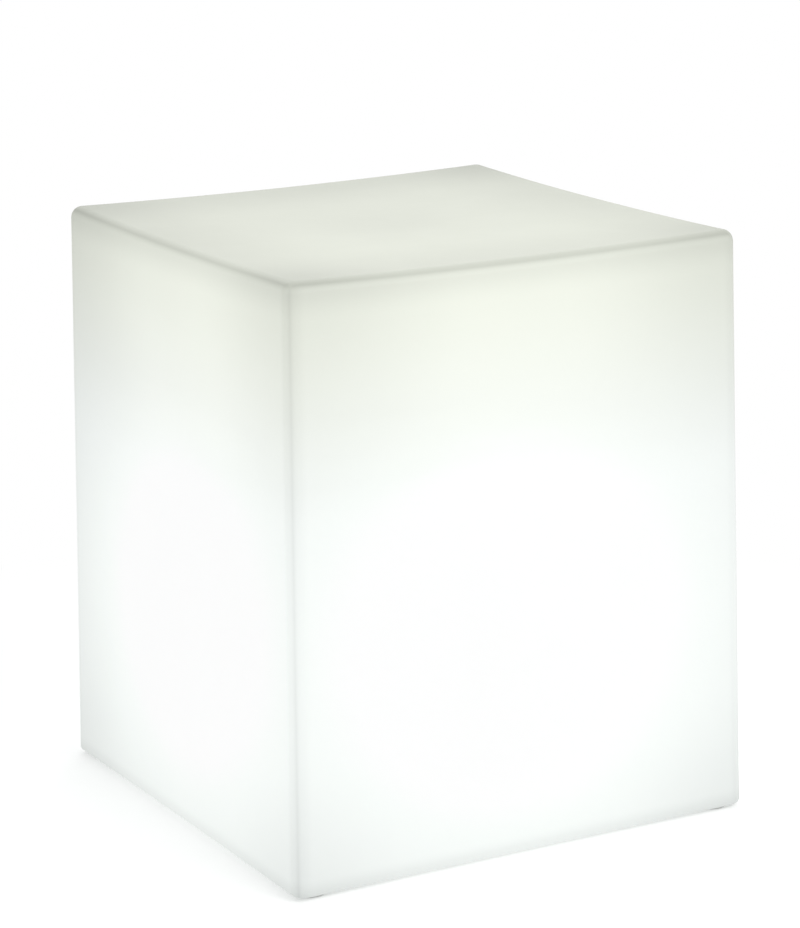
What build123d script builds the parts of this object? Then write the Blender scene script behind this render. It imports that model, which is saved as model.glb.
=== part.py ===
from build123d import *
import os
from math import cos, pi, radians, sin, sqrt, tan

os.makedirs("parts", exist_ok=True)

# Glowing cube lamp for gardens and terraces. Millimetres, +Z up, the floor at z = 0 under the four
# feet, the Z axis through the middle of the cube. The button is on the -Y side of the base plate
# and the charging socket on its +Y side.

# Moulded cube
cube_width = 400.0  # across the faces at the bottom, corner to corner of the side lines
cube_height = 463.0  # from the underside to the tops of the corners
wall = 4.0
draft_angle = 0.8  # each side leans in towards the top
corner_radius = 10.0  # four upright edges
top_edge_radius = 9.0
bottom_edge_radius = 5.0
least_inner_radius = 1.5
top_dish = 5.0  # the top is this much lower in the middle than at its corners
side_bow = 0.8  # the sides are this much hollow in the middle

# Feet
foot_proud = 2.0
foot_radius = 14.0
foot_inset = 20.0  # from the side lines to the middle of a foot
foot_dimple = 1.0
foot_edge_radius = 0.8
foot_clearance = 0.2

# Base recess, its opening and the fixings in its ceiling
recess_depth = 16.0
recess_margin = 9.0  # ring of ceiling left round the flange
recess_corner_radius = 3.0
flange_width = 21.0  # from the opening in the ceiling to the rim of the flange
fixing_count = 6
fixing_screw_radius = 2.0
insert_radius = 4.0
insert_length = 11.0
insert_groove = 0.6
insert_floor = 1.0  # brass left over the end of the thread
bore_room = 0.2
boss_wall = 4.0
screw_end_room = 1.0
moulded_fit = 0.02
thread_clearance = 0.05
hole_clearance = 0.25

# Vent plug in the underside
vent_hole_radius = 4.0
vent_tip_angle = 20.0
vent_head_radius = 7.0
vent_head_depth = 1.2
vent_distance = 34.0  # from the recess wall to the middle of the plug
plug_clearance = 0.05
seat_gap = 0.3

# Base housing, made of one moulding: flange, cup and bosses
gasket_thickness = 1.7
gasket_edge = 1.0  # inside the rim of the flange
gasket_bore_edge = 1.5  # outside the opening
flange_thickness = 4.0
cup_clearance = 2.0
cup_wall = 3.0
rim_height = 55.7  # from the inside of the base plate to the rim of the cup
small_screw_radius = 1.4
small_boss_radius = 4.0
small_head_height = 1.8
board_screw_length = 9.0
tray_screw_length = 6.5
light_screw_length = 14.0
washer_thickness = 0.8
washer_radius = 5.0

# Button and charging socket, both held by a nut in the base plate
bezel_radius = 7.5
bezel_thickness = 2.0
barrel_radius = 5.9
barrel_height = 18.5  # above the bezel
panel_clearance = 0.1
panel_seal = 0.8
seal_edge = 0.4  # inside the rim of the bezel
nut_across_flats = 14.0
nut_height = 2.5
nut_room = 3.8
cap_radius = 4.2
cap_clearance = 0.3
cap_proud = 3.0
button_travel = 2.5
chamber_radius = 5.0
spring_room = 9.2  # chamber left over the button's flange when it is pressed in
cap_flange_thickness = 1.5
plunger_radius = 2.0
plunger_length = 4.7
spring_wire = 0.6
spring_turns = 5.0
socket_bore_radius = 3.15
socket_bore_depth = 12.0
socket_pin_radius = 1.0
socket_pin_recess = 3.8
socket_pin_length = 13.0
terminal_spacing = 5.0
terminal_width = 2.4
terminal_thickness = 0.6
terminal_height = 4.0

# Hinged rubber cover of the charging socket
cover_radius = 7.0
cover_thickness = 2.0
cover_stub_radius = 2.6
cover_stub_height = 2.5
cover_gap = 0.3
knuckle_radius = 1.6
knuckle_length = 6.6
hinge_pin_radius = 0.8
pin_clearance = 0.05
ear_thickness = 1.8
ear_wall = 0.2  # more than the knuckle's radius
tab_thickness = 1.2
strap_overlap = 1.0
strap_rise = 0.2
hinge_offset = 10.0  # from the middle of the socket to the hinge pin

# Indicator
pipe_radius = 1.5
pipe_head_radius = 2.5
pipe_offset = 41.0
indicator_size = 3.0
indicator_height = 1.4

# Battery
cell_radius = 9.2
cell_length = 65.0
cell_count = 3
cell_gap = 0.1
cell_edge = 0.8
cell_cap_radius = 3.0
saddle_width = 4.0
saddle_spread = 19.5
saddle_height = 5.5
tray_floor = 2.2
tray_wall = 1.7
tray_side_height = 12.0
tray_end_height = 18.0
tray_end_gap = 0.8
strip_thickness = 0.3
strip_width = 8.0
lug_length = 7.0
lug_thickness = 1.5
lug_height = 4.0
lug_spread = 29.0
strap_width = 14.0
strap_thickness = 0.8
strap_corner_radius = 1.0
strap_side_room = 0.5
strap_play = 0.3
protection_rise = 2.0
protection_length = 40.0
protection_height = 12.0
protection_thickness = 1.2

# Control board
board_length = 94.0
board_width = 50.0
board_thickness = 1.6
board_edge = 5.0  # from the board's sides to its screws
board_corner_radius = 3.0
board_room = 8.0  # between the cells and the board
connector_length = 8.0
connector_depth = 6.0
connector_height = 6.0
battery_connector_x = 24.0
led_connector_x = 25.0
chip_height = 1.6
controller_side = 10.0
controller_place = (-20.0, 8.0)
driver_length = 6.5
driver_width = 6.0
driver_place = (-20.0, -9.0)
charger_length = 6.0
charger_width = 5.0
charger_place = (6.0, 9.0)
inductor_place = (-35.0, 0.0)
inductor_side = 12.0
inductor_corner_radius = 3.0
inductor_base = 1.5
inductor_core_radius = 5.2
inductor_core_height = 4.5
capacitor_x = -7.0
capacitor_spread = 14.0
capacitor_radius = 4.0
capacitor_height = 11.5
capacitor_edge = 0.5

# Light engine and diffuser
dome_wall = 2.5
dome_straight = 9.0
dome_flange_thickness = 3.0
dome_gasket_thickness = 1.0
dome_screw_count = 6
dome_screw_length = 12.0
dome_screw_floor = 2.0
dome_flange_land = 6.0  # from the dome to the middle of its screws
dome_boss_width = 9.0
dome_room = 1.0  # between the dome and the light board
spreader_thickness = 2.0
pad_thickness = 0.5
led_board_thickness = 1.6
led_rise = 0.9  # rim of the cup to the underside of the light board
led_chip_length = 3.5
led_chip_width = 2.8
led_chip_height = 0.8
led_ring_radii = (14.0, 25.0, 36.0)
led_ring_counts = (6, 12, 18)
lead_hole_radius = 6.0
light_board_edge = 3.0  # from the rim of the light board to its screws
post_angle = 60.0
post_room = 4.9  # between the battery and the posts, for the leads

# Leads
lead_diameter = 1.6
lead_pitch = 3.0
panel_lead_rise = 7.5
panel_lead_reach = 8.8
battery_lead_rise = 5.0
battery_lead_swing = 2.9
battery_lead_turn = 5.3
battery_lead_reach = 6.8
light_lead_run = 11.0
light_lead_rise = 7.0

# Levels, from the floor up
shell_bottom = foot_proud
shell_top = shell_bottom + cube_height
recess_ceiling = shell_bottom + recess_depth
flange_top = recess_ceiling - gasket_thickness
flange_bottom = flange_top - flange_thickness
plate_top = flange_top
washer_bottom = flange_bottom - washer_thickness
seal_bottom = flange_bottom - panel_seal
bezel_bottom = seal_bottom - bezel_thickness
barrel_top = seal_bottom + barrel_height
terminal_top = barrel_top + terminal_height
cell_middle = plate_top + tray_floor + cell_gap + cell_radius
cell_top = cell_middle + cell_radius
board_bottom = cell_top + board_room
board_top = board_bottom + board_thickness
connector_middle = board_top + connector_height / 2
rim_top = plate_top + rim_height
dome_bottom = rim_top + dome_gasket_thickness
led_board_bottom = rim_top - led_rise
led_board_top = led_board_bottom + led_board_thickness
pad_bottom = led_board_bottom - pad_thickness
spreader_bottom = pad_bottom - spreader_thickness

# Radii and places worked out from the sizes above
cell_pitch = 2 * cell_radius + cell_gap
cells_half_width = (cell_count - 1) / 2 * cell_pitch + cell_radius
tray_half_width = cells_half_width + seat_gap + tray_wall
tray_half_length = cell_length / 2 + tray_end_gap + tray_wall
lug_half_width = tray_half_width + lug_length / 2
strap_inner = tray_half_width + protection_thickness
panel_offset = strap_inner + strap_thickness + nut_across_flats / sqrt(3) + nut_room
post_circle = (strap_inner + post_room + small_boss_radius) / sin(radians(post_angle))
led_board_radius = post_circle + light_board_edge
dome_radius = led_board_radius + dome_room + dome_wall
dome_circle = dome_radius + dome_flange_land
dome_boss_radius = dome_boss_width / 2
spreader_radius = dome_circle - dome_boss_radius - dome_room
cup_radius = dome_circle + dome_boss_radius
cup_inner = cup_radius - cup_wall
opening_radius = cup_radius + cup_clearance
flange_radius = opening_radius + flange_width
recess_radius = flange_radius + recess_margin
fixing_circle = (opening_radius + flange_radius) / 2
chamber_height = cap_clearance + cap_flange_thickness + button_travel + spring_room
foot_place = cube_width / 2 - foot_inset
foot_places = [(x, y) for x in (-foot_place, foot_place) for y in (-foot_place, foot_place)]
board_screw_x = board_length / 2 - board_edge
board_screw_y = board_width / 2 - board_edge
board_places = [(x, y) for x in (-board_screw_x, board_screw_x) for y in (-board_screw_y, board_screw_y)]
lug_places = [(x, y) for x in (-lug_spread, lug_spread) for y in (-lug_half_width, lug_half_width)]
post_places = [
    (post_circle * cos(radians(angle)), post_circle * sin(radians(angle)))
    for angle in (post_angle, 180 - post_angle, 180 + post_angle, 360 - post_angle)
]


def half_width(z):
    """Half the cube's width on its side lines at height z."""
    return cube_width / 2 - (z - shell_bottom) * tan(radians(draft_angle))


def cube_form(inset):
    """Solid of the drafted cube with its dished top and hollow sides, drawn in by inset."""
    reach = half_width(shell_top) * sqrt(2)
    dish_radius = (reach**2 + top_dish**2) / (2 * top_dish)
    with BuildPart() as form:
        for z in (shell_bottom + inset, shell_top):
            half = half_width(z) - inset
            corners = [(-half, -half), (half, -half), (half, half), (-half, half)]
            middles = [(0, side_bow - half), (half - side_bow, 0), (0, half - side_bow), (side_bow - half, 0)]
            with BuildSketch(Plane.XY.offset(z)):
                with BuildLine():
                    for side in range(4):
                        ThreePointArc(corners[side], middles[side], corners[(side + 1) % 4])
                make_face()
        loft(ruled=True)
        with Locations((0, 0, shell_top + dish_radius - top_dish)):
            Sphere(dish_radius + inset, rotation=(90, 0, 0), mode=Mode.SUBTRACT)
        uprights = form.edges().filter_by(lambda edge: edge.bounding_box().size.Z > cube_height / 2)
        fillet(uprights, max(corner_radius - inset, least_inner_radius))
        top_edges = form.faces().sort_by(Axis.Z)[-1].edges()
        fillet(top_edges, max(top_edge_radius - inset, least_inner_radius))
        bottom_edges = form.faces().sort_by(Axis.Z)[0].edges()
        fillet(bottom_edges, max(bottom_edge_radius - inset, least_inner_radius))
    return form.part


def recess_form(radius, bottom, top, corner):
    """Round plug on the Z axis with a rounded upper corner."""
    with BuildPart() as form:
        with BuildSketch(Plane.XZ):
            with BuildLine():
                Polyline((0, bottom), (radius, bottom), (radius, top), (0, top), close=True)
            make_face()
        revolve(axis=Axis.Z)
        fillet(form.edges().filter_by(GeomType.CIRCLE).sort_by(Axis.Z)[-1], corner)
    return form.part


def ring(outer, inner, bottom, height):
    """Flat ring on the Z axis."""
    with BuildPart() as form:
        with BuildSketch(Plane.XY.offset(bottom)):
            Circle(outer)
            Circle(inner, mode=Mode.SUBTRACT)
        extrude(amount=height)
    return form.part


def screw(seat, up, shank_radius, head_radius, head_height, shank_length):
    """Pan-head screw with a cross recess; up is 1 with its head above the seat and -1 below it."""
    cross_depth = head_height * 0.6
    cross_length = head_radius * 1.1
    cross_width = head_radius * 0.22
    with BuildPart() as one:
        with Locations((0, 0, seat + up * head_height / 2)):
            Cylinder(head_radius, head_height)
        rims = one.edges().filter_by(GeomType.CIRCLE).sort_by(Axis.Z)
        fillet(rims[-1] if up > 0 else rims[0], head_height * 0.45)
        with Locations((0, 0, seat + up * (head_height - cross_depth / 2))):
            Box(cross_length, cross_width, cross_depth, mode=Mode.SUBTRACT)
            Box(cross_width, cross_length, cross_depth, mode=Mode.SUBTRACT)
        with Locations((0, 0, seat - up * shank_length / 2)):
            Cylinder(shank_radius, shank_length)
        ends = one.edges().filter_by(GeomType.CIRCLE).sort_by(Axis.Z)
        chamfer(ends[0] if up > 0 else ends[-1], shank_radius * 0.35)
    return one.part


def small_screw(seat, length):
    """Self-tapping screw with its head above the seat."""
    return screw(seat, 1, small_screw_radius, 2 * small_screw_radius, small_head_height, length)


def route_radii(points):
    """Arc radius at each corner of a lead's route, as large as its two runs allow."""
    radii = []
    for before, corner, after in zip(points, points[1:], points[2:]):
        run_in = Vector(*corner) - Vector(*before)
        run_out = Vector(*after) - Vector(*corner)
        half_turn = radians(run_in.get_angle(run_out)) / 2
        radii.append(0.45 * min(run_in.length, run_out.length) / tan(half_turn))
    return radii


def lead(points):
    """Insulated wire along a route of straight runs joined by tangent arcs."""
    radii = route_radii(points)
    with BuildPart() as tube:
        with BuildLine() as route:
            FilletPolyline(*points, radius=radii)
        with BuildSketch(Plane(route.line @ 0, z_dir=route.line % 0)):
            Circle(lead_diameter / 2)
        sweep()
    expected = pi * lead_diameter**2 / 4 * sum(edge.length for edge in route.edges())
    print("lead radii", [round(r, 1) for r in radii], "volume ratio", round(tube.part.volume / expected, 4))
    return tube.part


# ---- Moulded cube ----

insert_bore_depth = insert_length + bore_room
boss_radius = insert_radius + boss_wall
boss_height = insert_bore_depth - wall + boss_wall

with BuildPart() as shell:
    add(cube_form(0.0))
    add(cube_form(wall), mode=Mode.SUBTRACT)
    # re-entrant cup that the base sits in
    add(recess_form(recess_radius + wall, shell_bottom + wall / 2, recess_ceiling + wall,
                    recess_corner_radius + wall))
    with Locations((0, 0, recess_ceiling + wall + boss_height / 2)):
        with PolarLocations(fixing_circle, fixing_count):
            Cylinder(boss_radius, boss_height)
    add(recess_form(recess_radius, shell_bottom - wall, recess_ceiling, recess_corner_radius),
        mode=Mode.SUBTRACT)
    with Locations((0, 0, recess_ceiling + wall / 2)):
        Cylinder(opening_radius, 2 * wall, mode=Mode.SUBTRACT)
    with Locations((0, 0, recess_ceiling + insert_bore_depth / 2)):
        with PolarLocations(fixing_circle, fixing_count):
            Cylinder(insert_radius + moulded_fit, insert_bore_depth, mode=Mode.SUBTRACT)
    mouth = shell.edges().filter_by(GeomType.CIRCLE).filter_by(
        lambda edge: abs(edge.radius - recess_radius) < 0.01 and edge.center().Z < shell_bottom + 0.01
    )
    fillet(mouth, recess_corner_radius)
    # seats for the feet and the vent plug
    with Locations(*[(x, y, shell_bottom + foot_dimple / 2) for x, y in foot_places]):
        Cylinder(foot_radius + foot_clearance, foot_dimple, mode=Mode.SUBTRACT)
    with Locations((0, recess_radius + vent_distance, shell_bottom)):
        Cylinder(vent_head_radius, 2 * vent_head_depth, mode=Mode.SUBTRACT)
        Cylinder(vent_hole_radius, 4 * wall, mode=Mode.SUBTRACT)
shell.part.label = "shell"
export_step(shell.part, "parts/shell.step")

with BuildPart() as insert_form:
    with Locations((0, 0, recess_ceiling + insert_length / 2)):
        Cylinder(insert_radius, insert_length)
    for share in (0.3, 0.7):
        with BuildSketch(Plane.XY.offset(recess_ceiling + share * insert_length)):
            Circle(insert_radius)
            Circle(insert_radius - insert_groove, mode=Mode.SUBTRACT)
        extrude(amount=insert_groove, mode=Mode.SUBTRACT)
    with Locations((0, 0, recess_ceiling + (insert_length - insert_floor) / 2)):
        Cylinder(fixing_screw_radius + thread_clearance, insert_length - insert_floor, mode=Mode.SUBTRACT)

with BuildPart() as shell_inserts:
    with PolarLocations(fixing_circle, fixing_count):
        add(insert_form.part)
shell_inserts.part.label = "shell_inserts"
export_step(shell_inserts.part, "parts/shell_inserts.step")

with BuildPart() as vent_plug:
    with BuildSketch(Plane((0, recess_radius + vent_distance, shell_bottom + seat_gap))):
        Circle(vent_head_radius - seat_gap)
    extrude(amount=vent_head_depth - seat_gap)
    with BuildSketch(Plane((0, recess_radius + vent_distance, shell_bottom + vent_head_depth))):
        Circle(vent_hole_radius - plug_clearance)
    extrude(amount=wall - vent_head_depth + seat_gap)
    with BuildSketch(Plane((0, recess_radius + vent_distance, shell_bottom + wall + seat_gap))):
        Circle(vent_hole_radius + seat_gap)
    extrude(amount=vent_head_depth, taper=vent_tip_angle)
vent_plug.part.label = "vent_plug"
export_step(vent_plug.part, "parts/vent_plug.step")

with BuildPart() as foot_form:
    with BuildSketch(Plane.XY):
        Circle(foot_radius)
    extrude(amount=foot_proud + foot_dimple)
    fillet(foot_form.edges().filter_by(GeomType.CIRCLE).sort_by(Axis.Z)[0], foot_edge_radius)

with BuildPart() as feet:
    with Locations(*foot_places):
        add(foot_form.part)
feet.part.label = "feet"
export_step(feet.part, "parts/feet.step")

# ---- Base housing ----

# places, top and depth of the holes for the small screws
board_hole_depth = board_screw_length - board_thickness + screw_end_room
post_hole_depth = light_screw_length - (led_board_top - spreader_bottom) + screw_end_room
lug_hole_depth = tray_screw_length - lug_thickness + screw_end_room
screw_holes = [
    (board_places, board_bottom, board_hole_depth),
    (post_places, spreader_bottom, post_hole_depth),
    (lug_places, plate_top + lug_height, lug_hole_depth),
]

with BuildPart() as base_housing:
    with BuildSketch(Plane.XY.offset(flange_bottom)):
        Circle(flange_radius)
    extrude(amount=flange_thickness)
    fillet(base_housing.edges().filter_by(GeomType.CIRCLE).sort_by(Axis.Z)[0], flange_thickness * 0.4)
    with BuildSketch(Plane.XY.offset(plate_top)):
        Circle(cup_radius)
        Circle(cup_inner, mode=Mode.SUBTRACT)
    extrude(amount=rim_height)
    # posts for the control board, the light engine and the battery tray
    with BuildSketch(Plane.XY.offset(plate_top)):
        with Locations(*board_places):
            Circle(small_boss_radius)
    extrude(amount=board_bottom - plate_top)
    with BuildSketch(Plane.XY.offset(plate_top)):
        with Locations(*post_places):
            Circle(small_boss_radius)
    extrude(amount=spreader_bottom - plate_top)
    with BuildSketch(Plane.XY.offset(plate_top)):
        with Locations(*lug_places):
            Circle(lug_length / 2)
    extrude(amount=lug_height)
    # bosses for the diffuser's screws, joined to the cup wall
    with BuildSketch(Plane.XY.offset(rim_top - dome_screw_length - dome_screw_floor)):
        with PolarLocations(dome_circle, dome_screw_count):
            Circle(dome_boss_radius)
    extrude(amount=dome_screw_length + dome_screw_floor)
    # screw holes
    for places, top, depth in screw_holes:
        with Locations(*[(x, y, top - depth / 2) for x, y in places]):
            Cylinder(small_screw_radius + thread_clearance, depth, mode=Mode.SUBTRACT)
    with Locations((0, 0, rim_top - dome_screw_length / 2)):
        with PolarLocations(dome_circle, dome_screw_count):
            Cylinder(small_screw_radius + thread_clearance, dome_screw_length, mode=Mode.SUBTRACT)
    with Locations((0, 0, flange_bottom + flange_thickness / 2)):
        with PolarLocations(fixing_circle, fixing_count):
            Cylinder(fixing_screw_radius + hole_clearance, 2 * flange_thickness, mode=Mode.SUBTRACT)
        with Locations((0, -panel_offset), (0, panel_offset)):
            Cylinder(barrel_radius + panel_clearance, 2 * flange_thickness, mode=Mode.SUBTRACT)
        with Locations((pipe_offset, 0)):
            Cylinder(pipe_radius + panel_clearance, 2 * flange_thickness, mode=Mode.SUBTRACT)
base_housing.part.label = "base_housing"
export_step(base_housing.part, "parts/base_housing.step")

with BuildPart() as flange_gasket:
    add(ring(flange_radius - gasket_edge, opening_radius + gasket_bore_edge, flange_top, gasket_thickness))
    with Locations((0, 0, flange_top + gasket_thickness / 2)):
        with PolarLocations(fixing_circle, fixing_count):
            Cylinder(fixing_screw_radius + hole_clearance, 2 * gasket_thickness, mode=Mode.SUBTRACT)
flange_gasket.part.label = "flange_gasket"
export_step(flange_gasket.part, "parts/flange_gasket.step")

with BuildPart() as flange_washers:
    with PolarLocations(fixing_circle, fixing_count):
        add(ring(washer_radius, fixing_screw_radius + hole_clearance, washer_bottom, washer_thickness))
flange_washers.part.label = "flange_washers"
export_step(flange_washers.part, "parts/flange_washers.step")

fixing_screw_length = recess_ceiling - washer_bottom + insert_length - insert_floor - screw_end_room
with BuildPart() as flange_screws:
    with PolarLocations(fixing_circle, fixing_count):
        add(screw(washer_bottom, -1, fixing_screw_radius, 2 * fixing_screw_radius,
                  1.3 * fixing_screw_radius, fixing_screw_length))
flange_screws.part.label = "flange_screws"
export_step(flange_screws.part, "parts/flange_screws.step")

# ---- Button ----

lip_radius = cap_radius + cap_clearance
chamber_bottom = seal_bottom
chamber_top = chamber_bottom + chamber_height
with BuildPart() as switch_body:
    with BuildSketch(Plane((0, -panel_offset, bezel_bottom))):
        Circle(bezel_radius)
    extrude(amount=bezel_thickness)
    fillet(switch_body.edges().filter_by(GeomType.CIRCLE).sort_by(Axis.Z)[0], bezel_thickness * 0.4)
    with BuildSketch(Plane((0, -panel_offset, seal_bottom))):
        Circle(barrel_radius)
    extrude(amount=barrel_height)
    with BuildSketch(Plane((0, -panel_offset, bezel_bottom))):
        Circle(lip_radius)
    extrude(amount=bezel_thickness, mode=Mode.SUBTRACT)
    with BuildSketch(Plane((0, -panel_offset, chamber_bottom))):
        Circle(chamber_radius)
    extrude(amount=chamber_height, mode=Mode.SUBTRACT)
switch_body.part.label = "switch_body"
export_step(switch_body.part, "parts/switch_body.step")

cap_flange_bottom = chamber_bottom + cap_clearance
cap_flange_top = cap_flange_bottom + cap_flange_thickness
cap_bottom = bezel_bottom - cap_proud
with BuildPart() as switch_cap:
    with BuildSketch(Plane((0, -panel_offset, cap_bottom))):
        Circle(cap_radius)
    extrude(amount=cap_flange_bottom - cap_bottom)
    fillet(switch_cap.edges().filter_by(GeomType.CIRCLE).sort_by(Axis.Z)[0], cap_radius * 0.2)
    with BuildSketch(Plane((0, -panel_offset, cap_flange_bottom))):
        Circle(chamber_radius - cap_clearance)
    extrude(amount=cap_flange_thickness)
    with BuildSketch(Plane((0, -panel_offset, cap_flange_top))):
        Circle(plunger_radius)
    extrude(amount=plunger_length)
switch_cap.part.label = "switch_cap"
export_step(switch_cap.part, "parts/switch_cap.step")

spring_bottom = cap_flange_top + cap_clearance + spring_wire / 2
spring_length = chamber_top - spring_wire / 2 - spring_bottom
spring_radius = chamber_radius - cap_clearance - spring_wire
with BuildPart() as switch_spring:
    with BuildLine() as coil:
        Helix(spring_length / spring_turns, spring_length, spring_radius, center=(0, -panel_offset, spring_bottom))
    with BuildSketch(Plane(coil.line @ 0, z_dir=coil.line % 0)):
        Circle(spring_wire / 2)
    sweep(is_frenet=True)
switch_spring.part.label = "switch_spring"
export_step(switch_spring.part, "parts/switch_spring.step")


def panel_seal_ring(offset):
    """Rubber washer between a bezel and the base plate."""
    with BuildPart() as seal:
        with Locations((0, offset)):
            add(ring(bezel_radius - seal_edge, barrel_radius + panel_clearance, seal_bottom, panel_seal))
    return seal.part


def panel_nut(offset):
    """Hexagon nut on the inside of the base plate."""
    with BuildPart() as nut:
        with BuildSketch(Plane.XY.offset(plate_top)):
            with Locations((0, offset)):
                RegularPolygon(nut_across_flats / 2, 6, major_radius=False)
                Circle(barrel_radius + thread_clearance, mode=Mode.SUBTRACT)
        extrude(amount=nut_height)
    return nut.part


def terminal_pair(offset):
    """Two solder tags on top of a barrel."""
    with BuildPart() as tags:
        with BuildSketch(Plane.XY.offset(barrel_top)):
            with Locations((-terminal_spacing / 2, offset), (terminal_spacing / 2, offset)):
                Rectangle(terminal_width, terminal_thickness)
        extrude(amount=terminal_height)
    return tags.part


with BuildPart() as switch_seal:
    add(panel_seal_ring(-panel_offset))
switch_seal.part.label = "switch_seal"
export_step(switch_seal.part, "parts/switch_seal.step")

with BuildPart() as switch_nut:
    add(panel_nut(-panel_offset))
switch_nut.part.label = "switch_nut"
export_step(switch_nut.part, "parts/switch_nut.step")

with BuildPart() as switch_terminals:
    add(terminal_pair(-panel_offset))
switch_terminals.part.label = "switch_terminals"
export_step(switch_terminals.part, "parts/switch_terminals.step")

# ---- Charging socket and its cover ----

hinge_y = panel_offset + hinge_offset
tab_bottom = seal_bottom - tab_thickness
hinge_z = tab_bottom - cover_gap - knuckle_radius
ear_inner = knuckle_length / 2 + cover_gap
ear_outer = ear_inner + ear_thickness
ear_radius = knuckle_radius + ear_wall
with BuildPart() as socket_body:
    with BuildSketch(Plane((0, panel_offset, bezel_bottom))):
        Circle(bezel_radius)
    extrude(amount=bezel_thickness)
    fillet(socket_body.edges().filter_by(GeomType.CIRCLE).sort_by(Axis.Z)[0], bezel_thickness * 0.4)
    with BuildSketch(Plane((0, panel_offset, seal_bottom))):
        Circle(barrel_radius)
    extrude(amount=barrel_height)
    # tab with two ears for the cover's pin
    with BuildSketch(Plane.XY.offset(tab_bottom)):
        with Locations((0, (panel_offset + hinge_y + ear_radius) / 2)):
            Rectangle(2 * ear_outer, hinge_offset + ear_radius)
    extrude(amount=tab_thickness)
    for side in (-1, 1):
        with BuildSketch(Plane.YZ.offset(side * (ear_inner + ear_outer) / 2)):
            with Locations((hinge_y, hinge_z)):
                Circle(ear_radius)
            with Locations((hinge_y, (hinge_z + tab_bottom) / 2)):
                Rectangle(2 * ear_radius, tab_bottom - hinge_z)
        extrude(amount=ear_thickness / 2, both=True)
    with Locations((0, hinge_y, hinge_z)):
        Cylinder(hinge_pin_radius, 2 * ear_outer, rotation=(0, 90, 0), mode=Mode.SUBTRACT)
    with BuildSketch(Plane((0, panel_offset, bezel_bottom))):
        Circle(socket_bore_radius)
    extrude(amount=socket_bore_depth, mode=Mode.SUBTRACT)
    with BuildSketch(Plane((0, panel_offset, bezel_bottom))):
        Circle(socket_pin_radius)
    extrude(amount=socket_pin_recess + socket_pin_length, mode=Mode.SUBTRACT)
socket_body.part.label = "socket_body"
export_step(socket_body.part, "parts/socket_body.step")

with BuildPart() as socket_pin:
    with BuildSketch(Plane((0, panel_offset, bezel_bottom + socket_pin_recess))):
        Circle(socket_pin_radius)
    extrude(amount=socket_pin_length)
    fillet(socket_pin.edges().filter_by(GeomType.CIRCLE).sort_by(Axis.Z)[0], socket_pin_radius * 0.5)
socket_pin.part.label = "socket_pin"
export_step(socket_pin.part, "parts/socket_pin.step")

with BuildPart() as socket_seal:
    add(panel_seal_ring(panel_offset))
socket_seal.part.label = "socket_seal"
export_step(socket_seal.part, "parts/socket_seal.step")

with BuildPart() as socket_nut:
    add(panel_nut(panel_offset))
socket_nut.part.label = "socket_nut"
export_step(socket_nut.part, "parts/socket_nut.step")

with BuildPart() as socket_terminals:
    add(terminal_pair(panel_offset))
socket_terminals.part.label = "socket_terminals"
export_step(socket_terminals.part, "parts/socket_terminals.step")

with BuildPart() as hinge_pin:
    with Locations((0, hinge_y, hinge_z)):
        Cylinder(hinge_pin_radius, 2 * ear_outer, rotation=(0, 90, 0))
hinge_pin.part.label = "hinge_pin"
export_step(hinge_pin.part, "parts/hinge_pin.step")

cover_top = bezel_bottom - cover_gap
cover_bottom = cover_top - cover_thickness
with BuildPart() as port_cover:
    with BuildSketch(Plane.XY.offset(cover_bottom)):
        with Locations((0, panel_offset)):
            Circle(cover_radius)
    extrude(amount=cover_thickness)
    fillet(port_cover.edges().filter_by(GeomType.CIRCLE).sort_by(Axis.Z)[0], cover_thickness * 0.35)
    with BuildSketch(Plane.XY.offset(cover_top)):
        with Locations((0, panel_offset)):
            Circle(cover_stub_radius)
    extrude(amount=cover_stub_height)
    # strap from the disc to the knuckle
    with BuildSketch(Plane.XY.offset(cover_bottom)):
        with Locations((0, panel_offset + (cover_radius - strap_overlap + hinge_offset) / 2)):
            Rectangle(knuckle_length, hinge_offset - cover_radius + strap_overlap)
    extrude(amount=hinge_z - cover_bottom + strap_rise)
    with Locations((0, hinge_y, hinge_z)):
        Cylinder(knuckle_radius, knuckle_length, rotation=(0, 90, 0))
        Cylinder(hinge_pin_radius + pin_clearance, knuckle_length, rotation=(0, 90, 0), mode=Mode.SUBTRACT)
port_cover.part.label = "port_cover"
export_step(port_cover.part, "parts/port_cover.step")

# ---- Indicator ----

indicator_bottom = board_bottom - indicator_height
with BuildPart() as indicator_pipe:
    with BuildSketch(Plane((pipe_offset, 0, seal_bottom))):
        Circle(pipe_head_radius)
    extrude(amount=panel_seal)
    with BuildSketch(Plane((pipe_offset, 0, flange_bottom))):
        Circle(pipe_radius)
    extrude(amount=indicator_bottom - seat_gap - flange_bottom)
    fillet(indicator_pipe.edges().filter_by(GeomType.CIRCLE).sort_by(Axis.Z)[0], panel_seal * 0.5)
indicator_pipe.part.label = "indicator_pipe"
export_step(indicator_pipe.part, "parts/indicator_pipe.step")

with BuildPart() as indicator_led:
    with BuildSketch(Plane.XY.offset(indicator_bottom)):
        with Locations((pipe_offset, 0)):
            Rectangle(indicator_size, indicator_size)
    extrude(amount=indicator_height)
indicator_led.part.label = "indicator_led"
export_step(indicator_led.part, "parts/indicator_led.step")

# ---- Battery ----

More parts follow.
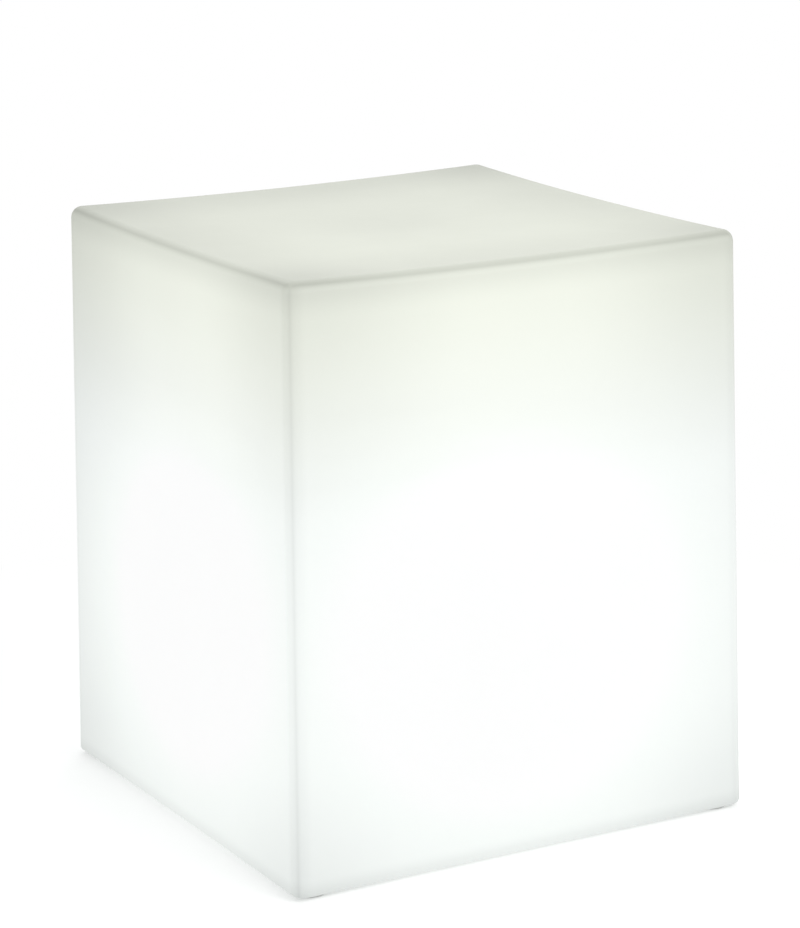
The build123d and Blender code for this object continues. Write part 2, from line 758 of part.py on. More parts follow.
cell_rows = [(row - (cell_count - 1) / 2) * cell_pitch for row in range(cell_count)]
tray_top = plate_top + tray_floor
groove_depth = strap_thickness + strap_play
with BuildPart() as battery_tray:
    with BuildSketch(Plane.XY.offset(plate_top)):
        Rectangle(2 * tray_half_length, 2 * tray_half_width)
    extrude(amount=tray_floor)
    with BuildSketch(Plane.XY.offset(tray_top)):
        for side in (-1, 1):
            with Locations((0, side * (tray_half_width - tray_wall / 2))):
                Rectangle(2 * tray_half_length, tray_wall)
    extrude(amount=tray_side_height)
    with BuildSketch(Plane.XY.offset(tray_top)):
        for side in (-1, 1):
            with Locations((side * (tray_half_length - tray_wall / 2), 0)):
                Rectangle(tray_wall, 2 * tray_half_width)
    extrude(amount=tray_end_height)
    # saddles under the cells
    with BuildSketch(Plane.XY.offset(tray_top)):
        for side in (-1, 1):
            with Locations((side * saddle_spread, 0)):
                Rectangle(saddle_width, 2 * (tray_half_width - tray_wall))
    extrude(amount=saddle_height)
    with Locations(*[(0, y, cell_middle) for y in cell_rows]):
        Cylinder(cell_radius + cell_gap / 2, cell_length + tray_end_gap, rotation=(0, 90, 0), mode=Mode.SUBTRACT)
    # lugs on the tray's sides
    with BuildSketch(Plane.XY.offset(plate_top + lug_height)):
        with Locations(*lug_places):
            Rectangle(lug_length, lug_length)
    extrude(amount=lug_thickness)
    with Locations(*[(x, y, plate_top + lug_height) for x, y in lug_places]):
        Cylinder(small_screw_radius + panel_clearance, 4 * lug_thickness, mode=Mode.SUBTRACT)
    # groove for the strap
    with BuildSketch(Plane.XY.offset(plate_top)):
        Rectangle(strap_width + 2 * strap_side_room, 2 * tray_half_width)
    extrude(amount=groove_depth, mode=Mode.SUBTRACT)
battery_tray.part.label = "battery_tray"
export_step(battery_tray.part, "parts/battery_tray.step")

tray_screw_seat = plate_top + lug_height + lug_thickness
with BuildPart() as tray_screws:
    with Locations(*lug_places):
        add(small_screw(tray_screw_seat, tray_screw_length))
tray_screws.part.label = "tray_screws"
export_step(tray_screws.part, "parts/tray_screws.step")

with BuildPart() as cell_form:
    with Locations((0, 0, cell_middle)):
        Cylinder(cell_radius, cell_length - cell_edge, rotation=(0, 90, 0))
    fillet(cell_form.edges().filter_by(GeomType.CIRCLE), cell_edge)
    with Locations((0, 0, cell_middle)):
        Cylinder(cell_cap_radius, cell_length, rotation=(0, 90, 0))

with BuildPart() as battery_cells:
    with Locations(*[(0, y) for y in cell_rows]):
        add(cell_form.part)
battery_cells.part.label = "battery_cells"
export_step(battery_cells.part, "parts/battery_cells.step")

with BuildPart() as battery_strips:
    for side in (-1, 1):
        with Locations((side * (cell_length + strip_thickness) / 2, 0, cell_middle)):
            Box(strip_thickness, (cell_count - 1) * cell_pitch + strip_width, strip_width)
battery_strips.part.label = "battery_strips"
export_step(battery_strips.part, "parts/battery_strips.step")

strap_bottom = plate_top + (groove_depth - strap_thickness) / 2
strap_top = cell_top + cell_gap + strap_thickness
with BuildPart() as battery_strap:
    with BuildSketch(Plane.YZ):
        with Locations((0, (strap_bottom + strap_top) / 2)):
            RectangleRounded(2 * (strap_inner + strap_thickness), strap_top - strap_bottom,
                             strap_corner_radius + strap_thickness)
            RectangleRounded(2 * strap_inner, strap_top - strap_bottom - 2 * strap_thickness,
                             strap_corner_radius, mode=Mode.SUBTRACT)
    extrude(amount=strap_width / 2, both=True)
battery_strap.part.label = "battery_strap"
export_step(battery_strap.part, "parts/battery_strap.step")

protection_bottom = tray_top + protection_rise
protection_top = protection_bottom + protection_height
with BuildPart() as protection_board:
    with Locations((0, tray_half_width + protection_thickness / 2, protection_bottom + protection_height / 2)):
        Box(protection_length, protection_thickness, protection_height)
protection_board.part.label = "protection_board"
export_step(protection_board.part, "parts/protection_board.step")

# ---- Control board ----

with BuildPart() as control_board:
    with BuildSketch(Plane.XY.offset(board_bottom)):
        RectangleRounded(board_length, board_width, board_corner_radius)
        with Locations(*board_places):
            Circle(small_screw_radius + panel_clearance, mode=Mode.SUBTRACT)
    extrude(amount=board_thickness)
control_board.part.label = "control_board"
export_step(control_board.part, "parts/control_board.step")

with BuildPart() as board_screws:
    with Locations(*board_places):
        add(small_screw(board_top, board_screw_length))
board_screws.part.label = "board_screws"
export_step(board_screws.part, "parts/board_screws.step")

with BuildPart() as board_chips:
    with BuildSketch(Plane.XY.offset(board_top)):
        with Locations(controller_place):
            Rectangle(controller_side, controller_side)
        with Locations(driver_place):
            Rectangle(driver_length, driver_width)
        with Locations(charger_place):
            Rectangle(charger_length, charger_width)
    extrude(amount=chip_height)
board_chips.part.label = "board_chips"
export_step(board_chips.part, "parts/board_chips.step")

with BuildPart() as inductor:
    with BuildSketch(Plane.XY.offset(board_top)):
        with Locations(inductor_place):
            RectangleRounded(inductor_side, inductor_side, inductor_corner_radius)
    extrude(amount=inductor_base)
    with BuildSketch(Plane.XY.offset(board_top + inductor_base)):
        with Locations(inductor_place):
            Circle(inductor_core_radius)
    extrude(amount=inductor_core_height)
inductor.part.label = "inductor"
export_step(inductor.part, "parts/inductor.step")

with BuildPart() as capacitors:
    with BuildSketch(Plane.XY.offset(board_top)):
        with Locations((capacitor_x, -capacitor_spread), (capacitor_x, capacitor_spread)):
            Circle(capacitor_radius)
    extrude(amount=capacitor_height)
    fillet(capacitors.edges().filter_by(GeomType.CIRCLE).group_by(Axis.Z)[-1], capacitor_edge)
capacitors.part.label = "capacitors"
export_step(capacitors.part, "parts/capacitors.step")

side_connector_y = board_width / 2 - connector_depth / 2
connector_places = [
    (0, -side_connector_y, 0),
    (0, side_connector_y, 0),
    (battery_connector_x, side_connector_y, 0),
    (led_connector_x, 0, 90),
]
with BuildPart() as board_connectors:
    for x, y, turn in connector_places:
        with BuildSketch(Plane.XY.offset(board_top)):
            with Locations((x, y)):
                Rectangle(connector_length, connector_depth, rotation=turn)
        extrude(amount=connector_height)
board_connectors.part.label = "board_connectors"
export_step(board_connectors.part, "parts/board_connectors.step")

# ---- Light engine ----

with BuildPart() as heat_spreader:
    with BuildSketch(Plane.XY.offset(spreader_bottom)):
        Circle(spreader_radius)
        Circle(lead_hole_radius, mode=Mode.SUBTRACT)
        with Locations(*post_places):
            Circle(small_screw_radius + panel_clearance, mode=Mode.SUBTRACT)
    extrude(amount=spreader_thickness)
heat_spreader.part.label = "heat_spreader"
export_step(heat_spreader.part, "parts/heat_spreader.step")

with BuildPart() as thermal_pad:
    add(ring(post_circle - small_boss_radius, lead_hole_radius, pad_bottom, pad_thickness))
thermal_pad.part.label = "thermal_pad"
export_step(thermal_pad.part, "parts/thermal_pad.step")

with BuildPart() as led_board:
    with BuildSketch(Plane.XY.offset(led_board_bottom)):
        Circle(led_board_radius)
        with Locations(*post_places):
            Circle(small_screw_radius + panel_clearance, mode=Mode.SUBTRACT)
    extrude(amount=led_board_thickness)
led_board.part.label = "led_board"
export_step(led_board.part, "parts/led_board.step")

with BuildPart() as led_chips:
    with BuildSketch(Plane.XY.offset(led_board_top)):
        for radius, count in zip(led_ring_radii, led_ring_counts):
            with PolarLocations(radius, count):
                Rectangle(led_chip_length, led_chip_width)
    extrude(amount=led_chip_height)
led_chips.part.label = "led_chips"
export_step(led_chips.part, "parts/led_chips.step")

with BuildPart() as led_board_screws:
    with Locations(*post_places):
        add(small_screw(led_board_top, light_screw_length))
led_board_screws.part.label = "led_board_screws"
export_step(led_board_screws.part, "parts/led_board_screws.step")

led_connector_bottom = led_board_bottom - connector_height
with BuildPart() as led_connector:
    with BuildSketch(Plane.XY.offset(led_connector_bottom)):
        Rectangle(connector_depth, connector_length)
    extrude(amount=connector_height)
led_connector.part.label = "led_connector"
export_step(led_connector.part, "parts/led_connector.step")

# ---- Diffuser ----

dome_top_centre = dome_bottom + dome_flange_thickness + dome_straight
dome_align = (Align.CENTER, Align.CENTER, Align.MIN)
with BuildPart() as diffuser_dome:
    with BuildSketch(Plane.XY.offset(dome_bottom)):
        Circle(cup_radius)
    extrude(amount=dome_flange_thickness)
    with BuildSketch(Plane.XY.offset(dome_bottom)):
        Circle(dome_radius)
    extrude(amount=dome_flange_thickness + dome_straight)
    with Locations((0, 0, dome_top_centre)):
        Sphere(dome_radius, arc_size1=0, align=dome_align)
        Sphere(dome_radius - dome_wall, arc_size1=0, align=dome_align, mode=Mode.SUBTRACT)
    with BuildSketch(Plane.XY.offset(dome_bottom)):
        Circle(dome_radius - dome_wall)
    extrude(amount=dome_flange_thickness + dome_straight, mode=Mode.SUBTRACT)
    with Locations((0, 0, dome_bottom)):
        with PolarLocations(dome_circle, dome_screw_count):
            Cylinder(small_screw_radius + panel_clearance, 4 * dome_flange_thickness, mode=Mode.SUBTRACT)
diffuser_dome.part.label = "diffuser_dome"
export_step(diffuser_dome.part, "parts/diffuser_dome.step")

with BuildPart() as dome_gasket:
    add(ring(cup_radius, dome_radius - dome_wall, rim_top, dome_gasket_thickness))
    with Locations((0, 0, rim_top)):
        with PolarLocations(dome_circle, dome_screw_count):
            Cylinder(small_screw_radius + panel_clearance, 4 * dome_gasket_thickness, mode=Mode.SUBTRACT)
dome_gasket.part.label = "dome_gasket"
export_step(dome_gasket.part, "parts/dome_gasket.step")

dome_screw_seat = dome_bottom + dome_flange_thickness
with BuildPart() as dome_screws:
    with PolarLocations(dome_circle, dome_screw_count):
        add(small_screw(dome_screw_seat, dome_screw_length))
dome_screws.part.label = "dome_screws"
export_step(dome_screws.part, "parts/dome_screws.step")

# ---- Leads ----

board_side = board_width / 2
wire_side = terminal_spacing / 2


def panel_lead(x, side):
    """Wire from a solder tag up and over to the control board's edge, side -1 or 1 along Y."""
    return lead([
        (x, side * panel_offset, terminal_top),
        (x, side * panel_offset, terminal_top + panel_lead_rise),
        (x, side * (board_side + panel_lead_reach), connector_middle),
        (x, side * board_side, connector_middle),
    ])


def battery_lead(x):
    """Wire from the protection board round to the battery connector."""
    start_y = tray_half_width + protection_thickness / 2
    rise_top = protection_top + battery_lead_rise
    return lead([
        (x, start_y, protection_top),
        (x, start_y, rise_top),
        (x, start_y + battery_lead_swing, rise_top + battery_lead_turn),
        (x, board_side + battery_lead_reach, connector_middle),
        (x, board_side, connector_middle),
    ])


def light_lead(y):
    """Wire from the control board up to the light board's connector."""
    start_x = led_connector_x - connector_depth / 2
    return lead([
        (start_x, y, connector_middle),
        (start_x - light_lead_run, y, connector_middle),
        (0.0, y, connector_middle + light_lead_rise),
        (0.0, y, led_connector_bottom),
    ])


with BuildPart() as switch_leads:
    add(panel_lead(-wire_side, -1))
    add(panel_lead(wire_side, -1))
switch_leads.part.label = "switch_leads"
export_step(switch_leads.part, "parts/switch_leads.step")

with BuildPart() as socket_lead_red:
    add(panel_lead(wire_side, 1))
socket_lead_red.part.label = "socket_lead_red"
export_step(socket_lead_red.part, "parts/socket_lead_red.step")

with BuildPart() as socket_lead_black:
    add(panel_lead(-wire_side, 1))
socket_lead_black.part.label = "socket_lead_black"
export_step(socket_lead_black.part, "parts/socket_lead_black.step")

with BuildPart() as battery_lead_red:
    add(battery_lead(battery_connector_x - lead_pitch / 2))
battery_lead_red.part.label = "battery_lead_red"
export_step(battery_lead_red.part, "parts/battery_lead_red.step")

with BuildPart() as battery_lead_black:
    add(battery_lead(battery_connector_x + lead_pitch / 2))
battery_lead_black.part.label = "battery_lead_black"
export_step(battery_lead_black.part, "parts/battery_lead_black.step")

with BuildPart() as light_leads:
    add(light_lead(-lead_pitch / 2))
    add(light_lead(lead_pitch / 2))
light_leads.part.label = "light_leads"
export_step(light_leads.part, "parts/light_leads.step")
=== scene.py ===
import bpy
import bmesh
import math
import numpy as np
from mathutils import Matrix, Vector


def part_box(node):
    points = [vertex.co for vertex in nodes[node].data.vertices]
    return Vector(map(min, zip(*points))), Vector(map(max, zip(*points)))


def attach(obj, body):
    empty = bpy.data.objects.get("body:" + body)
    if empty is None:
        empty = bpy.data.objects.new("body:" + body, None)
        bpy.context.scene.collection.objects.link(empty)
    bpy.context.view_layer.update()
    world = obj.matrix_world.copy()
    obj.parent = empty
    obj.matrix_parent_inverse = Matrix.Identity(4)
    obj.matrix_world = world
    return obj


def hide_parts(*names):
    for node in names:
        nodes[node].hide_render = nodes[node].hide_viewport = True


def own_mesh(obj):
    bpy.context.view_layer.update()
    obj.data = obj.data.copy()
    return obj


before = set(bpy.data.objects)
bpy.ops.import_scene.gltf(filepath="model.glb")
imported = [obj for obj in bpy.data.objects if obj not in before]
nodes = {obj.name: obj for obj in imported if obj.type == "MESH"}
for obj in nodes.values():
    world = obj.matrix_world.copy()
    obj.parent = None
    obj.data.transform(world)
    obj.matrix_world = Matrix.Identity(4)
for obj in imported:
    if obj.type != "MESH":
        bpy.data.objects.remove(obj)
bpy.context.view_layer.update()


class Field:
    # one output socket; arithmetic on it adds Math nodes to the same material
    def __init__(self, paint, socket):
        self.paint = paint
        self.socket = socket

    def reckon(self, operation, *values):
        made = self.paint.node("ShaderNodeMath", {"operation": operation}, dict(enumerate(values)))
        return Field(self.paint, made.outputs[0])

    def __add__(self, other):
        return self.reckon("ADD", self, other)

    def __radd__(self, other):
        return self.reckon("ADD", other, self)

    def __sub__(self, other):
        return self.reckon("SUBTRACT", self, other)

    def __rsub__(self, other):
        return self.reckon("SUBTRACT", other, self)

    def __mul__(self, other):
        return self.reckon("MULTIPLY", self, other)

    def __rmul__(self, other):
        return self.reckon("MULTIPLY", other, self)

    def __truediv__(self, other):
        return self.reckon("DIVIDE", self, other)

    def __rtruediv__(self, other):
        return self.reckon("DIVIDE", other, self)

    def __pow__(self, other):
        return self.reckon("POWER", self, other)

    def __abs__(self):
        return self.reckon("ABSOLUTE", self)

    def least(self, other):
        return self.reckon("MINIMUM", self, other)

    def most(self, other):
        return self.reckon("MAXIMUM", self, other)

    def softLeast(self, other, knee):
        return self.reckon("SMOOTH_MIN", self, other, knee)

    def sine(self):
        return self.reckon("SINE", self)

    def cosine(self):
        return self.reckon("COSINE", self)

    def nearest(self):
        return self.reckon("ROUND", self)

    def bearing(self, sideways):
        return self.reckon("ARCTAN2", self, sideways)

    def step(self, low, high, fromValue=0.0, toValue=1.0):
        # smooth step from fromValue at low to toValue at high
        made = self.paint.node("ShaderNodeMapRange", {"interpolation_type": "SMOOTHSTEP"}, {
            "Value": self, "From Min": low, "From Max": high, "To Min": fromValue, "To Max": toValue})
        return Field(self.paint, made.outputs["Result"])

    def below(self, low, high):
        # 1 under low, 0 over high
        return self.step(low, high, 1.0, 0.0)

    def fade(self, reach, share):
        # 1 far away, and 1 - share where the field is nought
        return self.step(0.0, reach, 1.0 - share, 1.0)


class Paint:
    # one material, or the world's: its nodes, its shader and the object's own coordinates
    def __init__(self, name, world=False, **plain):
        self.material = (bpy.data.worlds if world else bpy.data.materials).new(name)
        self.material.use_nodes = True
        self.tree = self.material.node_tree
        self.tree.nodes.clear()
        self.coordinates = self.node("ShaderNodeTexCoord")
        self.place = self.coordinates.outputs["Object"]
        if not world:
            self.shader = self.node("ShaderNodeBsdfPrincipled")
            self.surface(self.shader.outputs["BSDF"])
        for socketName, value in plain.items():
            self.feed(self.shader.inputs[socketName.replace("_", " ")], value)

    def node(self, kind, settings=None, inputs=None):
        made = self.tree.nodes.new(kind)
        for name, value in (settings or {}).items():
            setattr(made, name, value)
        for name, value in (inputs or {}).items():
            self.feed(made.inputs[name], value)
        return made

    def feed(self, socket, value):
        if isinstance(value, Field):
            value = value.socket
        if isinstance(value, bpy.types.NodeSocket):
            self.tree.links.new(value, socket)
        elif socket.type == "RGBA" and len(value) == 3:
            socket.default_value = (*value, 1.0)
        else:
            socket.default_value = value

    def output(self, kind, outlet, settings=None, inputs=None):
        return Field(self, self.node(kind, settings, inputs).outputs[outlet])

    def surface(self, shaderSocket):
        isWorld = isinstance(self.material, bpy.types.World)
        kind = "ShaderNodeOutputWorld" if isWorld else "ShaderNodeOutputMaterial"
        for old in [n for n in self.tree.nodes if n.bl_idname == kind]:
            self.tree.nodes.remove(old)
        self.node(kind, {}, {"Surface": shaderSocket})

    def axes(self, vector=None):
        # X, Y and Z of a vector, in metres in the object's own frame if none is given
        source = vector if vector is not None else self.place
        parted = self.node("ShaderNodeSeparateXYZ", {}, {0: source})
        return [Field(self, parted.outputs[axis]) for axis in range(3)]

    def joined(self, x, y, z):
        return self.node("ShaderNodeCombineXYZ", {}, {0: x, 1: y, 2: z}).outputs[0]

    def stretched(self, scale, turn=(0.0, 0.0, 0.0)):
        inputs = {"Vector": self.place, "Scale": scale, "Rotation": turn}
        return self.node("ShaderNodeMapping", {}, inputs).outputs["Vector"]

    def noise(self, scale, detail=2.0, rough=0.5, vector=None):
        return self.output("ShaderNodeTexNoise", "Fac", {}, {
            "Vector": vector or self.place, "Scale": scale, "Detail": detail, "Roughness": rough})

    def cells(self, scale):
        return self.output("ShaderNodeTexVoronoi", "Distance", {}, {"Vector": self.place, "Scale": scale})

    def mix(self, factor, first, second):
        made = self.node("ShaderNodeMix", {"data_type": "RGBA"}, {0: factor})
        self.feed(made.inputs[6], first)
        self.feed(made.inputs[7], second)
        return made.outputs[2]

    def blended(self, factor, first, second):
        # from the first shader at 0 to the second at 1
        made = self.node("ShaderNodeMixShader", {}, {0: factor})
        self.feed(made.inputs[1], first)
        self.feed(made.inputs[2], second)
        return made.outputs[0]

    def scaled(self, colour, amount):
        # a colour times a field
        made = self.node("ShaderNodeVectorMath", {"operation": "SCALE"}, {0: colour, "Scale": amount})
        return made.outputs["Vector"]

    def colour(self, value):
        self.feed(self.shader.inputs["Base Color"], value)

    def roughness(self, value):
        self.feed(self.shader.inputs["Roughness"], value)

    def metal(self, value):
        self.feed(self.shader.inputs["Metallic"], value)

    def glow(self, value):
        self.feed(self.shader.inputs["Emission Color"], value)
        self.shader.inputs["Emission Strength"].default_value = 1.0

    def bump(self, *layers):
        # each layer is a height field and its full height in metres
        normal = None
        for height, depth in layers:
            made = self.node("ShaderNodeBump", {}, {"Height": height, "Distance": depth, "Strength": 1.0})
            if normal is not None:
                self.feed(made.inputs["Normal"], normal)
            normal = made.outputs["Normal"]
        self.feed(self.shader.inputs["Normal"], normal)

    def onto(self, *names):
        for name in names:
            dress(nodes[name], self)

    def aboutRing(self, radius, count):
        # X and Y from the nearest of count places spread evenly round a circle
        x, y, _ = self.axes()
        spacing = 2 * math.pi / count
        turn = (y.bearing(x) / spacing).nearest() * spacing
        return x - turn.cosine() * radius, y - turn.sine() * radius

    def aboutCorners(self, placeX, placeY):
        # X and Y from the nearest corner of a rectangle, mirrored
        x, y, _ = self.axes()
        return abs(x) - placeX, abs(y) - placeY


def length(x, y):
    return (x * x + y * y) ** 0.5


def dress(piece, paint):
    piece.data.materials.clear()
    piece.data.materials.append(paint.material)


def smooth(piece, degrees):
    # smooth shading, with edges sharper than that left crisp
    piece.data.shade_smooth()
    piece.data.set_sharp_from_angle(angle=math.radians(degrees))


def asPiece(name, made):
    # an object from a bmesh, its faces turned outwards
    bmesh.ops.recalc_face_normals(made, faces=made.faces)
    mesh = bpy.data.meshes.new(name)
    made.to_mesh(mesh)
    made.free()
    piece = bpy.data.objects.new(name, mesh)
    bpy.context.scene.collection.objects.link(piece)
    return piece


# moulded cube: sizes in metres
flangeHalf = (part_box("base_housing")[1].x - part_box("base_housing")[0].x) / 2
shellLow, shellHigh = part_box("shell")
cubeSizes = {
    "width": 0.39994,
    "height": 0.463,
    "wall": 0.004,
    "draftDegrees": 0.8,
    "cornerRadius": 0.010,
    "topRadius": 0.009,
    "bottomRadius": 0.005,
    "dish": 0.005,  # corners of the top above its middle
    "bow": 0.0008,  # hollow of the sides
    "bottom": shellLow.z,
    "recessRadius": flangeHalf + 0.009,
    "mouthRadius": 0.003,
    "ceiling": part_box("flange_gasket")[1].z,
    "opening": flangeHalf - 0.021,
    "leastRadius": 0.0015,
    "ledge": 0.012,  # flat ring round the opening
    "sideSamples": 66,
    "cornerSamples": 12,
    "outsideRows": (84, 8, 44),  # rows up a side, round an edge and in over the top
    "insideRows": (16, 4, 10),
    "crownRows": 6,  # further rows round the top's edge
    "undersideRows": 8,
    "stepRows": 6,
    "wave": 0.00022,  # depth of the moulding's slow waves
    "waveStart": 0.03,  # height over which they set in
}
cubeSizes["top"] = cubeSizes["bottom"] + cubeSizes["height"]


def halfWidth(z):
    lean = math.tan(math.radians(cubeSizes["draftDegrees"]))
    return cubeSizes["width"] / 2 - (z - cubeSizes["bottom"]) * lean


def dishRadius():
    reach = halfWidth(cubeSizes["top"]) * math.sqrt(2)
    return (reach**2 + cubeSizes["dish"]**2) / (2 * cubeSizes["dish"])


def bowedSquare(half, corner):
    # points and outward normals round a square with hollow sides and round corners
    bow = cubeSizes["bow"]
    sideRadius = (half**2 + bow**2) / (2 * bow)
    reach = half - corner
    along = np.linspace(-reach, reach, cubeSizes["sideSamples"])
    sidePoints = np.stack([along, bow - half - (sideRadius - np.sqrt(sideRadius**2 - along**2))], axis=1)
    sideNormals = np.stack([-along / sideRadius, -np.sqrt(1 - (along / sideRadius)**2)], axis=1)
    quarter = np.array([[0, 1], [-1, 0]])
    startNormal, endNormal = sideNormals[-1], sideNormals[0] @ quarter
    endPoint = sidePoints[0] @ quarter
    centre = (sidePoints[-1] - corner * startNormal + endPoint - corner * endNormal) / 2
    first = math.atan2(startNormal[1], startNormal[0])
    last = math.atan2(endNormal[1], endNormal[0])
    swing = np.linspace(first, last, cubeSizes["cornerSamples"] + 2)[1:-1]
    arc = np.stack([np.cos(swing), np.sin(swing)], axis=1)
    points, normals = [], []
    for turn in range(4):
        spin = np.linalg.matrix_power(quarter, turn)
        points += [sidePoints @ spin, (centre + corner * arc) @ spin]
        normals += [sideNormals @ spin, arc @ spin]
    return np.concatenate(points), np.concatenate(normals)


def skinRows(inset, sideRows, roundRows, topRings):
    # rows of points from the flat underside up the sides and in to the middle of the top
    top, bottom = cubeSizes["top"], cubeSizes["bottom"] + inset
    lean = math.radians(cubeSizes["draftDegrees"])
    corner = cubeSizes["cornerRadius"] - inset
    topRadius = cubeSizes["topRadius"] - inset
    lowRadius = max(cubeSizes["bottomRadius"] - inset, cubeSizes["leastRadius"])

    def dishHeight(points):
        return top - cubeSizes["dish"] - inset + (points**2).sum(axis=1) / (2 * dishRadius())

    rows = []
    base, out = bowedSquare(halfWidth(bottom) - inset, corner)
    lowCentre = lowRadius * (1 / math.cos(lean) + math.tan(lean))
    for angle in np.linspace(-math.pi / 2, lean, roundRows):
        level = bottom + lowRadius * (1 + math.sin(angle))
        pulled = base - out * (lowCentre - lowRadius * math.cos(angle))
        rows.append(np.column_stack([pulled, np.full(len(base), level)]))
    crown, out = bowedSquare(halfWidth(top) - inset, corner)
    slope = (crown * out).sum(axis=1) / dishRadius()
    pull = topRadius / math.cos(lean) - topRadius * math.tan(lean)
    rim = dishHeight(crown)
    centreLevel = rim - slope * pull - topRadius / np.cos(slope)
    lastSide = bottom + lowRadius
    firstRound = centreLevel + topRadius * math.sin(lean)
    for share in np.linspace(0, 1, sideRows + 1)[1:]:
        level = lastSide + share * (firstRound - lastSide)
        loop, _ = bowedSquare(halfWidth(lastSide + share * (top - topRadius - lastSide)) - inset, corner)
        rows.append(np.column_stack([loop, level]))
    for share in np.linspace(0, 1, roundRows + cubeSizes["crownRows"])[1:]:
        angle = lean + share * (math.pi / 2 + slope - lean)
        pulled = crown - out * (pull - topRadius * np.cos(angle))[:, None]
        rows.append(np.column_stack([pulled, centreLevel + topRadius * np.sin(angle)]))
    edge = rows[-1][:, :2]
    for share in np.linspace(0, 1, topRings + 1)[1:-1]:
        ring = edge * (1 - share)
        rows.append(np.column_stack([ring, dishHeight(ring)]))
    return rows


def moulded(rows):
    # slow waves that a rotation-moulded wall shows, always inwards so that the size holds
    centre = np.array([0.0, 0.0, (cubeSizes["top"] + cubeSizes["bottom"]) / 2])
    size = np.array([cubeSizes["width"], cubeSizes["width"], cubeSizes["height"]]) / 2
    waved = []
    for row in rows:
        x, y, z = row.T
        wave = (np.sin(23 * x + 11 * z + 0.7) * np.sin(19 * y - 13 * z + 1.9)
                + 0.6 * np.sin(41 * x - 29 * y + 17 * z) + 0.4 * np.sin(67 * z + 31 * x + 37 * y))
        depth = cubeSizes["wave"] * (wave + 2.0) / 4.0
        away = np.clip((z - cubeSizes["bottom"]) / cubeSizes["waveStart"], 0, 1)
        direction = ((row - centre) / size)**9
        direction /= np.maximum(np.linalg.norm(direction, axis=1), 1e-9)[:, None]
        waved.append(row - direction * (depth * away)[:, None])
    return waved


def circleRow(outline, radius, level):
    # a round row with as many points as the square ones, each at its own bearing
    bearing = np.arctan2(outline[:, 1], outline[:, 0])
    levels = np.full(len(bearing), level)
    return np.column_stack([radius * np.cos(bearing), radius * np.sin(bearing), levels])


def roundedStep(outline, radius, level, corner, fromAngle, toAngle):
    # rows round a corner whose centre lies at that radius and level
    rows = []
    for angle in np.linspace(fromAngle, toAngle, cubeSizes["stepRows"]):
        rows.append(circleRow(outline, radius + corner * math.cos(angle), level + corner * math.sin(angle)))
    return rows


def shellRows():
    # one closed run: top middle, down the outside, through the recess, up the inside to the top middle
    size = cubeSizes
    outside = moulded(skinRows(0.0, *size["outsideRows"]))
    inside = skinRows(size["wall"], *size["insideRows"])
    outline = outside[0][:, :2]
    wall, mouth = size["wall"], size["mouthRadius"]
    recess, bottom, ceiling = size["recessRadius"], size["bottom"], size["ceiling"]
    rows = list(reversed(outside))
    mouthRow = circleRow(outline, recess + mouth, bottom)
    for share in np.linspace(0, 1, size["undersideRows"] + 1)[1:-1]:
        rows.append(outside[0] * (1 - share) + mouthRow * share)
    rows += roundedStep(outline, recess + mouth, bottom + mouth, mouth, -math.pi / 2, -math.pi)
    rows += roundedStep(outline, recess - mouth, ceiling - mouth, mouth, 0, math.pi / 2)
    opening = size["opening"]
    for radius, level in ((opening + size["ledge"], ceiling), (opening, ceiling), (opening, ceiling + wall)):
        rows.append(circleRow(outline, radius, level))
    rows += roundedStep(outline, recess - mouth, ceiling - mouth, mouth + wall, math.pi / 2, 0)
    lastRow = circleRow(outline, recess + wall, bottom + wall)
    rows.append(lastRow)
    for share in (0.25, 0.5, 0.75):
        rows.append(lastRow * (1 - share) + inside[0] * share)
    return rows + inside


def gridPiece(name, rows):
    # a closed mesh through rows of equal length, each end closed to a point in its middle
    made = bmesh.new()
    grid = [[made.verts.new(point) for point in row] for row in rows]
    count = len(rows[0])
    for before, after in zip(grid, grid[1:]):
        for k in range(count):
            j = (k + 1) % count
            made.faces.new((before[k], before[j], after[j], after[k]))
    for row in (grid[0], grid[-1]):
        middle = made.verts.new(sum((v.co for v in row), Vector()) / count)
        for k in range(count):
            made.faces.new((row[k], row[(k + 1) % count], middle))
    return asPiece(name, made)


def polar(radius, angle, height=0.0):
    return Vector((radius * math.cos(angle), radius * math.sin(angle), height))


def addTurned(made, place, profile, count=72):
    # a closed turned form round an upright axis; the profile runs from axis to axis as (radius, height)
    rings = []
    for radius, height in profile:
        if radius < 1e-7:
            rings.append([made.verts.new(place + Vector((0.0, 0.0, height)))])
            continue
        angles = [2 * math.pi * k / count for k in range(count)]
        rings.append([made.verts.new(place + polar(radius, angle, height)) for angle in angles])
    for before, after in zip(rings, rings[1:]):
        for k in range(count):
            j = (k + 1) % count
            corners = [before[k % len(before)], before[j % len(before)], after[j % len(after)],
                       after[k % len(after)]]
            made.faces.new(list(dict.fromkeys(corners)))


